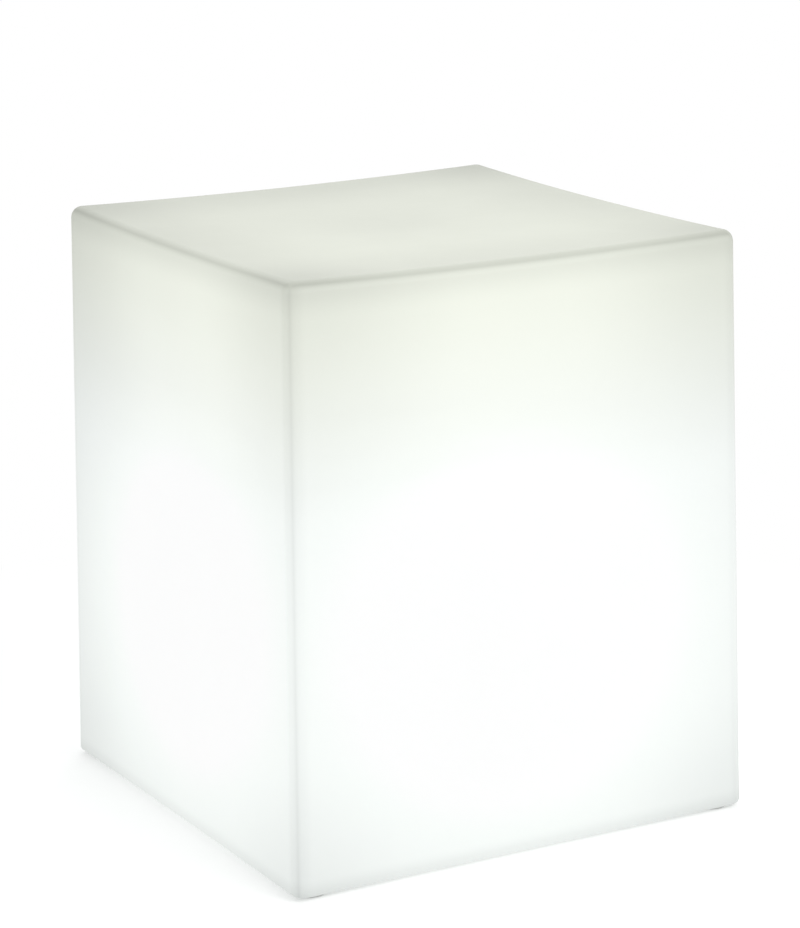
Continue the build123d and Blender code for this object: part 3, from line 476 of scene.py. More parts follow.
# light that comes through the cube's wall, painted as glow, as shares of full white; the fades and corner
# losses below are painted shade on that glow
glowLevels = {
    "source": 0.172,  # height of the light in the cube
    "steady": 0.744,  # light that has bounced about inside
    "direct": 0.375,  # light straight from the diffuser, at half a width away
    "topSteady": 0.814,
    "topFade": (0.114, 0.088),  # fades: reach, and the share lost at its start
    "topMiddle": (0.085, 0.030),  # the glow a little dimmer at the middle of the top
    "underTop": (0.030, 0.14),
    "nearFloor": (0.016, 0.13),
    "upright": (0.015, 0.125),
    "paintedEdgeShade": (0.0055, 0.16),  # painted shade on the rounded edges themselves
    "topCorner": 0.045,
    "topCornerReach": 0.090,
    "corner": 0.145,
    "cornerReach": 0.160,
    "cornerDrop": 0.186,
    "lowCorner": 0.055,
    "lowCornerReach": 0.110,
    "most": 0.982,
    "knee": 0.05,
    "washed": (0.975, 1.035),  # where the glow loses its tint
    "paintedShadeX": 0.14,  # painted shade, the glow darker to one side: loss for each metre to the right
    "paintedShadeY": 0.38,  # and to the back
    # the same painted shade on the top, darker to the back, and how it grows with height up the sides
    "topPaintedShadeY": 0.275,
    "paintedShadeGrowth": 0.3,
    "sideDaylight": 0.385,  # what the room adds
    "topDaylight": 0.522,
    "warmReach": 0.20,  # the glow turns warmer towards the top
    "coolTint": (0.966, 1.0, 0.978),
    "warmTint": (0.971, 1.0, 0.893),
    "topTint": (0.971, 1.0, 0.880),
    "clouding": 0.020,
    "streaks": 0.045,
    "belt": 0.018,  # painted shade: a belt round the sides where the glow is a little darker
    "beltLow": (0.27, 0.32),
    "beltHigh": (0.34, 0.40),
    "topFacing": (0.15, 0.9),  # how far up a face looks where it turns from side to top
    "body": 0.40,
}


def shellFinish():
    level = glowLevels
    paint = Paint("milkyMouldedShell", IOR=1.46)
    x, y, z = paint.axes()
    nx, ny, nz = paint.axes(paint.coordinates.outputs["Normal"])
    top, bottom = cubeSizes["top"], cubeSizes["bottom"]
    half = halfWidth(z)
    fromX = (half - abs(x)).most(0.0)
    fromY = (half - abs(y)).most(0.0)
    fromAxis = length(x, y)
    fromTop = (top - cubeSizes["dish"] + fromAxis * fromAxis / (2 * dishRadius()) - z).most(0.0)
    fromFloor = (z - bottom).most(0.0)
    total = fromX + fromY + fromTop
    edge = total - fromX.most(fromY).most(fromTop) - fromX.least(fromY).least(fromTop)
    upright = fromX.most(fromY)  # distance from the nearest upright edge, on a side
    topness = nz.step(*level["topFacing"])

    # light that comes straight from the diffuser, by the wall's facing and distance
    rise = z - level["source"]
    distance = (x * x + y * y + rise * rise) ** 0.5
    facing = ((nx * x + ny * y + nz * rise) / distance).most(0.0) ** 0.5
    direct = facing * (cubeSizes["width"] / 2)**2 / (distance * distance)

    # painted shade: the glow dimmed at the corners, under the top, near the floor and along the upright edges
    corner = upright.below(0.0, level["cornerReach"]) * fromTop.below(0.0, level["cornerDrop"])
    side = fromTop.fade(*level["underTop"])
    side = side * fromFloor.fade(*level["nearFloor"])
    side = side * upright.fade(*level["upright"])
    lowReach = level["lowCornerReach"]
    lowCorner = upright.below(0.0, lowReach) * fromFloor.below(0.0, lowReach)
    side = side * (1 - corner * level["corner"] - lowCorner * level["lowCorner"])
    side = side * level["steady"] + direct * level["direct"]
    # painted shade and light: the glow darker towards the right and the back, lighter towards the left and
    # the front, more so higher up
    lean = (fromFloor / cubeSizes["height"]) ** level["paintedShadeGrowth"]
    side = side * (1 - lean * (x * level["paintedShadeX"] + y * level["paintedShadeY"]))
    # painted shade on the top's glow: dimmer towards its edges and at its corners, darker towards the back,
    # and a little dimmer at its middle
    crown = fromX.fade(*level["topFade"]) * fromY.fade(*level["topFade"])
    crown = crown * fromAxis.fade(*level["topMiddle"]) * level["topSteady"]
    topReach = level["topCornerReach"]
    topCorner = fromX.below(0.0, topReach) * fromY.below(0.0, topReach)
    crown = crown * (1 - topCorner * level["topCorner"] - y * level["topPaintedShadeY"])
    amount = side + (crown - side) * topness
    # painted shade along the rounded edges
    amount = amount * edge.fade(*level["paintedEdgeShade"])

    clouds = paint.noise(7.0, 3.0, 0.5)
    ripple = paint.noise(9.0, 2.0, 0.6, paint.stretched((0.35, 0.35, 2.6)))
    band = z.step(*level["beltLow"]) * z.below(*level["beltHigh"])
    amount = amount * (1 + (clouds - 0.5) * level["clouding"] + (ripple - 0.5) * band * level["streaks"])
    # painted shade: a belt round the sides a little darker
    amount = amount * (1 - band * level["belt"])
    daylight = topness * (level["topDaylight"] - level["sideDaylight"]) + level["sideDaylight"]
    warmth = fromTop.below(0.0, level["warmReach"])
    tint = paint.mix(warmth, level["coolTint"], level["warmTint"])
    tint = paint.mix(topness, tint, level["topTint"])
    tint = paint.mix(amount.step(*level["washed"]), tint, (1.0, 1.0, 1.0))
    amount = (amount.softLeast(level["most"], level["knee"]) - daylight).most(0.0)
    paint.glow(paint.scaled(tint, amount))

    # milky plastic: pale, faintly clouded, with a fine orange-peel skin and light handling marks
    grain = paint.noise(420.0, 2.0, 0.5)
    peel = paint.noise(150.0, 1.0, 0.4)
    cloudy = clouds.step(0.3, 0.7, 0.985, 1.0)
    # the colour takes the glow's painted tint: warmer towards and on the top, white where the glow is
    # brightest
    paint.colour(paint.scaled(tint, cloudy * level["body"]))
    marks = paint.noise(28.0, 4.0, 0.65, paint.stretched((1.0, 1.0, 0.4), (0.3, 0.2, 0.7)))
    paint.roughness(0.47 + marks * 0.10)
    paint.bump((peel, 0.00004), (grain, 0.00002))
    return paint


footSizes = {
    "radius": 0.014,
    "clearance": 0.0002,
    "edge": 0.0008,
    "ribPitch": 0.0022,
    "ribDepth": 0.00045,
    "ribShare": 0.62,  # of the pitch that touches the floor
    "grooveSlope": 0.15,
    "lip": 0.0004,
    "edgeSamples": 6,
}
ventSizes = {"head": 0.007, "headDepth": 0.0012, "hole": 0.004, "holeDepth": 0.012}


def footPlaces():
    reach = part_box("feet")[1].x - footSizes["radius"]
    return [Vector((sideX * reach, sideY * reach, 0.0)) for sideX in (-1, 1) for sideY in (-1, 1)]


def buildShell():
    shell = gridPiece("cubeShell", shellRows())
    cutters = bmesh.new()
    hollow, deep = footSizes["radius"] + footSizes["clearance"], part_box("feet")[1].z
    for place in footPlaces():
        addTurned(cutters, place, [(0.0, 0.0), (hollow, 0.0), (hollow, deep), (0.0, deep)])
    ventLow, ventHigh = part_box("vent_plug")
    vent = Vector((0.0, (ventLow.y + ventHigh.y) / 2, 0.0))
    bottom = cubeSizes["bottom"]
    head, hole = ventSizes["head"], ventSizes["hole"]
    seat, end = bottom + ventSizes["headDepth"], bottom + ventSizes["holeDepth"]
    addTurned(cutters, vent, [(0.0, 0.0), (head, 0.0), (head, seat), (hole, seat), (hole, end), (0.0, end)])
    tool = asPiece("seatCutters", cutters)
    modifier = shell.modifiers.new("seats", "BOOLEAN")
    modifier.operation = "DIFFERENCE"
    modifier.solver = "EXACT"
    modifier.object = tool
    graph = bpy.context.evaluated_depsgraph_get()
    cut = bpy.data.meshes.new_from_object(shell.evaluated_get(graph))
    shell.modifiers.clear()
    shell.data = cut
    bpy.data.objects.remove(tool)
    smooth(shell, 35.0)
    dress(shell, shellFinish())
    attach(shell, "lamp")
    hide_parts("shell")
    print("shell", len(shell.data.vertices), "points")


def toned(colour, share, lift=0.0):
    return tuple(min(1.0, c * share + lift) for c in colour)


def plasticFinish(name, colour, grain, depth, rough, wear, wornTone):
    # moulded plastic: a fine spark-eroded grain, slow flow clouds and rubbed patches
    paint = Paint(name)
    flow = paint.noise(30.0, 3.0, 0.55, paint.stretched((1.0, 0.5, 0.8), (0.2, 0.1, 0.5)))
    rub = paint.noise(110.0, 5.0, 0.7)
    worn = rub.step(0.58, 0.75) * wear
    ground = paint.mix(flow, toned(colour, 0.93), colour)
    paint.colour(paint.mix(worn, ground, toned(colour, wornTone, 0.01)))
    paint.roughness(rough + (flow - 0.5) * 0.08 - worn * 0.5)
    paint.bump((paint.noise(grain, 2.0, 0.6), depth), (paint.noise(grain * 0.12, 1.0, 0.5), depth * 0.8))
    return paint


def rubberFinish(name, colour, pores, depth, rough, dust=0.16, dustTone=(0.45, 0.44, 0.42)):
    # soft rubber: pores, a dull bloom and dust in the hollows
    paint = Paint(name, Specular_IOR_Level=0.35)
    bloom = paint.noise(60.0, 4.0, 0.65)
    pore = paint.cells(pores)
    dusty = bloom.step(0.45, 0.75) * dust
    ground = paint.mix(pore.step(0.0, 0.35), toned(colour, 0.8), colour)
    paint.colour(paint.mix(dusty, ground, dustTone))
    paint.roughness(rough + (bloom - 0.5) * 0.14)
    paint.bump((pore, depth), (paint.noise(pores * 0.2, 2.0, 0.5), depth))
    return paint


def metalFinish(name, colour, rough, brushed=(0.05, 1.0, 1.0), stain=(0.45, 0.40, 0.33), stained=0.18,
                marks=0.000004, ringed=None):
    # drawn or turned metal: fine lines one way or round a centre, with faint stains
    paint = Paint(name, Metallic=1.0)
    lines = paint.noise(2600.0, 2.0, 0.6, paint.stretched(brushed))
    if ringed:
        localX, localY = ringed(paint)
        out = length(localX, localY)
        turned = paint.noise(5200.0, 1.0, 0.5, paint.joined(out, 0.0, 0.0))
        lines = lines * 0.35 + turned * 0.65
    patch = paint.noise(170.0, 4.0, 0.6).step(0.50, 0.78) * stained
    paint.colour(paint.mix(patch, paint.mix(lines, toned(colour, 0.90), colour), stain))
    paint.roughness(rough + (lines - 0.5) * 0.20 + patch * 0.8)
    paint.bump((lines, marks))
    return paint


def ringOfScrews(radius, count):
    return lambda paint: paint.aboutRing(radius, count)


def cornerScrews(placeX, placeY):
    return lambda paint: paint.aboutCorners(placeX, placeY)


def middleOf(name):
    low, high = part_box(name)
    return (low + high) / 2


def footProfile():
    # a soft foot with pressed ribs under it
    size = footSizes
    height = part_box("feet")[1].z
    flat = size["radius"] - size["edge"]
    profile = [(0.0, 0.0)]
    start = size["ribPitch"] * size["ribShare"]
    groove = size["ribPitch"] - start
    while start + size["ribPitch"] < flat:
        for share, depth in ((0, 0.0), (size["grooveSlope"], 1.0), (1 - size["grooveSlope"], 1.0), (1, 0.0)):
            profile.append((start + share * groove, depth * size["ribDepth"]))
        start += size["ribPitch"]
    for angle in np.linspace(0, math.pi / 2, size["edgeSamples"] + 1):
        profile.append((flat + size["edge"] * math.sin(angle), size["edge"] * (1 - math.cos(angle))))
    radius, lip = size["radius"], size["lip"]
    return profile + [(radius, height - lip), (radius - lip, height), (0.0, height)]


def buildFeet():
    made = bmesh.new()
    for place in footPlaces():
        addTurned(made, place, footProfile(), 96)
    feet = asPiece("ribbedFeet", made)
    smooth(feet, 30.0)
    paint = rubberFinish("footRubber", (0.76, 0.77, 0.75), 900.0, 0.00003, 0.72, 0.30, (0.60, 0.58, 0.55))
    dress(feet, paint)
    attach(feet, "lamp")
    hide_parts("feet")


springSizes = {
    "wire": 0.0006,
    "turns": 5.0,
    "closedTurns": 0.8,  # wound tight at each end
    "closedPitch": 1.04,  # in wires
    "travel": 0.0025,
    "samples": 220,
    "sides": 14,
}


def springHeight(turn, free):
    # height of the wire's middle after so many turns
    size = springSizes
    closed, pitch = size["closedTurns"], size["wire"] * size["closedPitch"]
    openTurns = size["turns"] - 2 * closed
    openPitch = (free - 2 * closed * pitch) / openTurns
    if turn < closed:
        return turn * pitch
    if turn > size["turns"] - closed:
        return free - (size["turns"] - turn) * pitch
    return closed * pitch + (turn - closed) * openPitch


def buildSpring():
    size = springSizes
    low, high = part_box("switch_spring")
    radius = (high.x - low.x) / 2 - size["wire"] / 2
    middle = (low + high) / 2
    free = high.z - low.z - size["wire"]
    centres = []
    for k in range(size["samples"]):
        turn = size["turns"] * k / (size["samples"] - 1)
        level = low.z + size["wire"] / 2 + springHeight(turn, free)
        centres.append(Vector((middle.x, middle.y, level)) + polar(radius, 2 * math.pi * turn))
    rows = []
    for k, centre in enumerate(centres):
        ahead = (centres[min(k + 1, len(centres) - 1)] - centres[max(k - 1, 0)]).normalized()
        outward = Vector((centre.x - middle.x, centre.y - middle.y, 0.0)).normalized()
        across = ahead.cross(outward).normalized()
        rows.append([centre + size["wire"] / 2 * (math.cos(a) * outward + math.sin(a) * across)
                     for a in (2 * math.pi * j / size["sides"] for j in range(size["sides"]))])
    spring = gridPiece("coilSpring", rows)
    smooth(spring, 50.0)
    dress(spring, metalFinish("drawnSpringSteel", (0.50, 0.50, 0.49), 0.30, (1.0, 1.0, 0.2), stained=0.10))
    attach(spring, "lamp")
    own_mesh(spring)
    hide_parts("switch_spring")


fixings = {
    "flangeCircle": flangeHalf - 0.0105,
    "flangeCount": 6,
    "domeCount": 6,
    "smallHead": 0.0028,
}


def dressFixings():
    size = fixings
    flange = ringOfScrews(size["flangeCircle"], size["flangeCount"])
    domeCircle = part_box("dome_screws")[1].x - size["smallHead"]
    bright = (0.62, 0.62, 0.60)
    metalFinish("turnedScrews", bright, 0.24, ringed=flange).onto("flange_screws")
    metalFinish("pressedWashers", (0.60, 0.60, 0.58), 0.30, ringed=flange).onto("flange_washers")
    domeRing = ringOfScrews(domeCircle, size["domeCount"])
    metalFinish("domeScrewSteel", bright, 0.24, ringed=domeRing).onto("dome_screws")
    for name in ("tray_screws", "board_screws", "led_board_screws"):
        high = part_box(name)[1]
        local = cornerScrews(high.x - size["smallHead"], high.y - size["smallHead"])
        metalFinish(name + "Steel", bright, 0.24, ringed=local).onto(name)
    dressInserts(flange)


insertKnurl = {"around": 24.0, "upward": 4200.0}


def dressInserts(ring):
    # brass with a diamond knurl rolled round each insert
    paint = Paint("knurledBrass", Metallic=1.0)
    localX, localY = ring(paint)
    around = localY.bearing(localX) * insertKnurl["around"]
    upward = paint.axes()[2] * insertKnurl["upward"]
    knurl = abs((around + upward).sine()).least(abs((around - upward).sine()))
    stain = paint.noise(240.0, 4.0, 0.6)
    paint.colour(paint.mix(stain, (0.50, 0.33, 0.12), (0.78, 0.58, 0.26)))
    paint.roughness(0.26 + stain * 0.20)
    paint.bump((knurl, 0.00022))
    paint.onto("shell_inserts")


def dressHousing():
    # off-white housing under the cube: even grain, scuffs on what faces the floor, faint flow rings
    paint = Paint("housingPlastic")
    x, y, z = paint.axes()
    out = length(x, y)
    flow = (out * 240.0 + paint.noise(24.0, 3.0) * 5.0).sine() * 0.5 + 0.5
    scuff = paint.noise(70.0, 6.0, 0.72, paint.stretched((1.0, 0.25, 1.0), (0.0, 0.0, 0.6)))
    low = z.below(0.0125, 0.0170)
    worn = scuff.step(0.56, 0.72) * low
    paint.colour(paint.mix(worn * 0.5, paint.mix(flow * 0.25, (0.70, 0.70, 0.67), (0.62, 0.62, 0.60)),
                           (0.50, 0.49, 0.46)))
    paint.roughness(0.50 + worn * 0.16 + (flow - 0.5) * 0.04)
    paint.bump((paint.noise(1100.0, 2.0, 0.6), 0.00005), (scuff, 0.00003))
    paint.onto("base_housing")

    # vent plug: same family, pressed in, with a turned face
    plug = Paint("ventPlugPlastic")
    middle = middleOf("vent_plug")
    x, y, _ = plug.axes()
    ring = length(x, y - middle.y)
    lines = (ring * 9000.0).sine() * 0.5 + 0.5
    dirt = plug.noise(300.0, 4.0, 0.65)
    plug.colour(plug.mix(dirt.step(0.5, 0.8) * 0.4, (0.74, 0.74, 0.70), (0.52, 0.51, 0.47)))
    plug.roughness(0.42 + lines * 0.10)
    plug.bump((lines, 0.00002), (dirt, 0.00002))
    plug.onto("vent_plug")


def dressSeals():
    foam = rubberFinish("gasketFoam", (0.035, 0.035, 0.036), 1800.0, 0.00006, 0.85)
    foam.onto("flange_gasket", "dome_gasket")
    seal = rubberFinish("panelSealRubber", (0.045, 0.045, 0.047), 2400.0, 0.00002, 0.68)
    seal.onto("switch_seal", "socket_seal")
    rubberFinish("coverRubber", (0.055, 0.056, 0.058), 1700.0, 0.00003, 0.66, 0.22).onto("port_cover")


def dressPanelParts():
    nylon = plasticFinish("switchNylon", (0.035, 0.035, 0.037), 1300.0, 0.00003, 0.38, 0.25, 2.4)
    nylon.onto("switch_body", "socket_body")
    # the button's face is polished by fingers, its rim keeps the grain
    paint = Paint("buttonPlastic", Coat_Weight=0.12)
    middle = middleOf("switch_cap")
    x, y, _ = paint.axes()
    out = length(x, y - middle.y)
    rim = out.step(0.0022, 0.0038)
    rings = (out * 7000.0).sine() * 0.5 + 0.5
    smear = paint.noise(420.0, 4.0, 0.6, paint.stretched((1.0, 0.5, 1.0), (0.0, 0.0, 0.8)))
    paint.colour(paint.mix(smear, (0.31, 0.32, 0.32), (0.40, 0.41, 0.41)))
    paint.roughness(rim * 0.14 + 0.24 + smear * 0.12)
    paint.bump((rings, 0.000015), (paint.noise(2200.0), 0.00002))
    paint.onto("switch_cap")
    plated = (0.70, 0.67, 0.60)
    nuts = metalFinish("platedNuts", plated, 0.22, (1.0, 1.0, 0.06), (0.62, 0.46, 0.24), 0.25)
    nuts.onto("switch_nut", "socket_nut")
    terminals = metalFinish("platedTerminals", plated, 0.20, (1.0, 1.0, 0.1), (0.52, 0.42, 0.30), 0.20)
    terminals.onto("switch_terminals", "socket_terminals")
    metalFinish("platedPins", (0.66, 0.65, 0.62), 0.18, (0.1, 1.0, 1.0)).onto("socket_pin", "hinge_pin")


def dressIndicator():
    # clear light pipe with moulding streaks along it
    paint = Paint("clearAcrylic", Transmission_Weight=0.85, IOR=1.49)
    streak = paint.noise(700.0, 2.0, 0.5, paint.stretched((1.0, 1.0, 0.08)))
    paint.colour(paint.mix(streak, (0.86, 0.92, 0.90), (0.95, 0.98, 0.97)))
    paint.roughness(0.06 + streak * 0.10)
    paint.bump((streak, 0.00001))
    paint.onto("indicator_pipe")

    chip = Paint("indicatorChip", Coat_Weight=0.4)
    middle = middleOf("indicator_led")
    x, y, _ = chip.axes()
    lens = length(x - middle.x, y - middle.y).below(0.0007, 0.0011)
    speck = chip.noise(2600.0)
    chip.colour(chip.mix(lens, chip.mix(speck, (0.72, 0.72, 0.68), (0.82, 0.82, 0.78)), (0.45, 0.75, 0.42)))
    chip.roughness(0.18 + speck * 0.16)
    chip.glow(chip.scaled((0.20, 0.80, 0.30), lens * 0.9))
    chip.bump((speck, 0.00001))
    chip.onto("indicator_led")


batterySizes = {
    "cells": 3,
    "sleeveLip": 0.0062,
    "lipEdge": 0.0002,
    "canFace": 0.00025,
    "seamBearing": 1.9,
    "wrinkled": 0.006,  # length of the wrinkled ends
}


def dressBattery():
    # shrink sleeve over three cells: a seam line, soft wrinkles at the ends and a bare can in the middle
    size = batterySizes
    low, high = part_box("battery_cells")
    pitch = (high.y - low.y) / size["cells"]
    paint = Paint("shrinkSleeve", Coat_Weight=0.25)
    x, y, z = paint.axes()
    acrossCell = y - (y / pitch).nearest() * pitch
    upCell = z - (low.z + high.z) / 2
    out = length(acrossCell, upCell)
    around = upCell.bearing(acrossCell)
    endFace = abs(x).step(high.x - size["canFace"], high.x - size["canFace"] / 3)
    bare = endFace * out.below(size["sleeveLip"], size["sleeveLip"] + size["lipEdge"])
    seam = abs(around - size["seamBearing"]).below(0.015, 0.035)
    wrinkle = paint.noise(90.0, 3.0, 0.6, paint.joined(x * 0.3, around * 0.012, 0.0))
    nearEnd = abs(x).step(high.x - size["wrinkled"], high.x)
    sleeve = paint.mix(wrinkle, (0.030, 0.150, 0.330), (0.045, 0.200, 0.420))
    sleeve = paint.mix(seam * 0.6, sleeve, (0.02, 0.09, 0.20))
    paint.colour(paint.mix(bare, sleeve, (0.66, 0.64, 0.60)))
    paint.metal(bare)
    paint.roughness(0.34 + wrinkle * 0.12 - bare * 0.06)
    paint.bump((wrinkle * nearEnd, 0.00012), (seam, 0.00006))
    paint.onto("battery_cells")
    nickel = metalFinish("nickelStrip", (0.68, 0.66, 0.61), 0.26, (1.0, 0.06, 1.0), stained=0.12)
    nickel.onto("battery_strips")
    tray = plasticFinish("trayPlastic", (0.028, 0.028, 0.030), 1000.0, 0.00005, 0.48, 0.20, 2.6)
    tray.onto("battery_tray")


strapSizes = {"thread": 5200.0, "rim": 0.0012}


def dressStrap():
    # plain woven webbing: warp ribs along the strap, weft across, a darker edge
    paint = Paint("strapWebbing", Specular_IOR_Level=0.3)
    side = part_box("battery_strap")[1].x
    x, y, z = paint.axes()
    along = (y + z) * strapSizes["thread"]
    across = x * strapSizes["thread"]
    over = (across.sine() * along.sine()).step(-0.25, 0.25)
    thread = abs(across.cosine()) * over + abs(along.cosine()) * (1 - over)
    fluff = paint.noise(3200.0, 3.0, 0.7)
    rim = abs(x).step(side - strapSizes["rim"], side)
    shade = (thread * 0.6 + fluff * 0.4) * (1 - rim * 0.4)
    paint.colour(paint.mix(shade, (0.012, 0.012, 0.013), (0.085, 0.085, 0.088)))
    paint.roughness(0.82 - thread * 0.12)
    paint.bump((thread, 0.00018), (fluff, 0.00005))
    paint.onto("battery_strap")


def boardFinish(name, mask, track, padPitch=0.00508, padRadius=0.00062, tall=False):
    # solder mask over etched tracks, with rows of tinned pads
    paint = Paint(name, Coat_Weight=0.3)
    x, y, z = paint.axes()
    flat = paint.joined(x, z if tall else y, 0.0)
    bricks = {"offset": 0.37, "squash": 1.6, "squash_frequency": 3}
    lines = paint.output("ShaderNodeTexBrick", "Fac", bricks, {
        "Vector": flat, "Scale": 260.0, "Mortar Size": 0.045, "Brick Width": 1.9, "Row Height": 0.62})
    quarter = (0.0, 0.0, math.pi / 2)
    turned = paint.node("ShaderNodeMapping", {}, {"Vector": flat, "Rotation": quarter}).outputs[0]
    cross = paint.output("ShaderNodeTexBrick", "Fac", bricks, {
        "Vector": turned, "Scale": 170.0, "Mortar Size": 0.05, "Brick Width": 2.6, "Row Height": 0.8})
    region = paint.noise(55.0, 1.0, 0.5, flat).step(0.47, 0.53)
    tracks = lines * region + cross * (1 - region)
    second = z if tall else y
    padX = x - (x / padPitch).nearest() * padPitch
    padY = second - (second / padPitch).nearest() * padPitch
    pads = length(padX, padY).below(padRadius * 0.85, padRadius)
    pads = pads * paint.noise(90.0, 1.0, 0.5, flat).step(0.56, 0.58)
    speck = paint.noise(900.0, 3.0, 0.6)
    ground = paint.mix(speck, toned(mask, 0.90), mask)
    paint.colour(paint.mix(pads, paint.mix(tracks * 0.75, ground, track), (0.70, 0.69, 0.66)))
    paint.metal(pads)
    paint.roughness(0.30 + speck * 0.12)
    paint.bump((tracks, 0.00003), (pads, 0.00005), (speck, 0.00001))
    return paint


capacitorSizes = {"lid": 0.0030, "relief": (0.00012, 0.0003), "stripe": 0.0026, "edge": 0.0002}


def dressElectronics():
    mask, track = (0.018, 0.135, 0.055), (0.060, 0.270, 0.110)
    boardFinish("greenBoard", mask, track).onto("control_board")
    boardFinish("greenBoardUpright", mask, track, tall=True).onto("protection_board")
    whiteBoard = boardFinish("whiteBoard", (0.80, 0.80, 0.78), (0.72, 0.73, 0.72), 0.00762, 0.0008)
    whiteBoard.onto("led_board")
    resin = plasticFinish("chipResin", (0.022, 0.022, 0.023), 2600.0, 0.00003, 0.55, 0.10, 2.0)
    resin.onto("board_chips")
    nylon = plasticFinish("connectorNylon", (0.72, 0.69, 0.60), 1500.0, 0.00002, 0.40, 0.05, 1.08)
    nylon.onto("board_connectors", "led_connector")

    # ferrite inductor: dark sintered core with a glint of wire varnish round it
    core = Paint("ferrite")
    speck = core.noise(2200.0, 4.0, 0.7)
    glint = core.cells(1500.0).below(0.0, 0.10)
    core.colour(core.mix(glint * 0.35, core.mix(speck, (0.030, 0.030, 0.031), (0.060, 0.060, 0.062)),
                         (0.20, 0.19, 0.18)))
    core.roughness(0.46 + speck * 0.20)
    core.bump((speck, 0.00005))
    core.onto("inductor")

    # capacitors: aluminium tops with pressed relief lines, a dark sleeve below with a pale stripe
    can = Paint("capacitorCan")
    size = capacitorSizes
    low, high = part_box("capacitors")
    middle = (low + high) / 2
    capacitorY = high.y - (high.x - low.x) / 2
    x, y, z = can.axes()
    localX, localY = x - middle.x, abs(y) - capacitorY
    crownTop = z.step(high.z - 2 * size["edge"], high.z - size["edge"])
    lid = crownTop * length(localX, localY).below(size["lid"], size["lid"] + size["edge"])
    relief = abs(localX).least(abs(localY)).below(*size["relief"]) * lid
    stripe = localX.step(size["stripe"], size["stripe"] + size["edge"]) * (1 - crownTop)
    speck = can.noise(1500.0, 3.0, 0.6)
    film = can.mix(speck, (0.030, 0.034, 0.050), (0.045, 0.050, 0.070))
    sleeve = can.mix(stripe, film, (0.55, 0.56, 0.58))
    can.colour(can.mix(lid, sleeve, (0.72, 0.73, 0.74)))
    can.metal(lid)
    can.roughness(0.34 + speck * 0.12)
    can.bump((1 - relief, 0.00018), (speck, 0.00001))
    can.onto("capacitors")


lightSizes = {
    "rings": ((0.014, 6), (0.025, 12), (0.036, 18)),
    "phosphorRadius": 0.00105,
    "warmWhite": (1.0, 0.97, 0.88),
}


def dressLight():
    aluminium = metalFinish("rolledAluminium", (0.74, 0.75, 0.76), 0.34, (0.04, 1.0, 1.0), (0.60, 0.60, 0.58),
                            0.15, 0.000008)
    aluminium.onto("heat_spreader")
    # soft filled pad: pale grey-blue with fibre specks
    pad = Paint("thermalPad", Specular_IOR_Level=0.3)
    fibre = pad.noise(1700.0, 4.0, 0.75, pad.stretched((1.0, 0.35, 1.0)))
    pad.colour(pad.mix(fibre, (0.20, 0.24, 0.29), (0.32, 0.36, 0.42)))
    pad.roughness(0.78 + fibre * 0.12)
    pad.bump((fibre, 0.00006), (pad.cells(700.0), 0.00003))
    pad.onto("thermal_pad")

    # each light chip: a pale frame with a yellow phosphor disc that glows
    chips = Paint("lightChips", Coat_Weight=0.2)
    nearest = None
    for radius, count in lightSizes["rings"]:
        localX, localY = chips.aboutRing(radius, count)
        away = length(localX, localY)
        nearest = away if nearest is None else nearest.least(away)
    disc = nearest.below(lightSizes["phosphorRadius"] * 0.92, lightSizes["phosphorRadius"])
    grit = chips.noise(4200.0, 2.0, 0.6)
    phosphor = chips.mix(grit, (0.80, 0.62, 0.10), (0.90, 0.74, 0.20))
    chips.colour(chips.mix(disc, chips.mix(grit, (0.78, 0.78, 0.75), (0.88, 0.88, 0.85)), phosphor))
    chips.roughness(0.30 + grit * 0.25)
    chips.glow(chips.scaled(lightSizes["warmWhite"], disc * (0.85 + grit * 0.3)))
    chips.bump((grit, 0.00002), (disc, 0.00005))
    chips.onto("led_chips")

    # opal dome: brightest over the light chips, dimmer down its skirt, with a fine frosted skin
    dome = Paint("opalDiffuser", Coat_Weight=0.05, IOR=1.58)
    low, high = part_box("diffuser_dome")
    upness = dome.axes()[2].step(low.z, high.z, 0.72, 0.97)
    haze = dome.noise(40.0, 3.0, 0.5)
    tint = dome.mix(upness, (1.0, 0.96, 0.88), (0.99, 0.99, 0.95))
    dome.glow(dome.scaled(tint, upness * (0.97 + haze * 0.06) - 0.30))
    dome.colour(dome.mix(haze, (0.46, 0.46, 0.44), (0.50, 0.50, 0.48)))
    dome.roughness(0.42 + haze * 0.10)
    dome.bump((dome.noise(1600.0, 2.0, 0.5), 0.00002))
    dome.onto("diffuser_dome")


def wireFinish(name, colour):
    # extruded insulation: faint lines along it, a soft sheen and small scuffs
    paint = Paint(name, Coat_Weight=0.08)
    lines = paint.noise(1600.0, 2.0, 0.5, paint.stretched((1.0, 1.0, 0.15)))
    scuff = paint.noise(320.0, 4.0, 0.7)
    ground = paint.mix(lines, toned(colour, 0.85), colour)
    paint.colour(paint.mix(scuff.step(0.55, 0.8) * 0.3, ground, toned(colour, 0.5, 0.12)))
    paint.roughness(0.38 + scuff * 0.18)
    paint.bump((lines, 0.00002))
    return paint


def dressLeads():
    for colourName, colour, names in (
            ("red", (0.42, 0.022, 0.016), ("socket_lead_red", "battery_lead_red")),
            ("black", (0.022, 0.022, 0.023), ("socket_lead_black", "battery_lead_black")),
            ("white", (0.68, 0.68, 0.65), ("switch_leads", "light_leads"))):
        wireFinish(colourName + "Insulation", colour).onto(*names)


buildShell()
buildFeet()
buildSpring()
print("feet and spring")
dressFixings()
dressHousing()
dressSeals()
dressPanelParts()
dressIndicator()
print("base finishes")
dressBattery()
dressStrap()
dressElectronics()
dressLight()
dressLeads()
print("battery, boards, light and leads")


cameraView = {
    "place": (-1.24212, -2.24435, 0.92274),
    "headingDegrees": 29.039,
    "dropDegrees": 13.114,
    "rollDegrees": -0.816,
    "focalPixels": 3316.4,
    "frame": (800, 928),
    "centreRow": 390.0,  # image row that the lens looks straight at
    "sensor": 36.0,
}


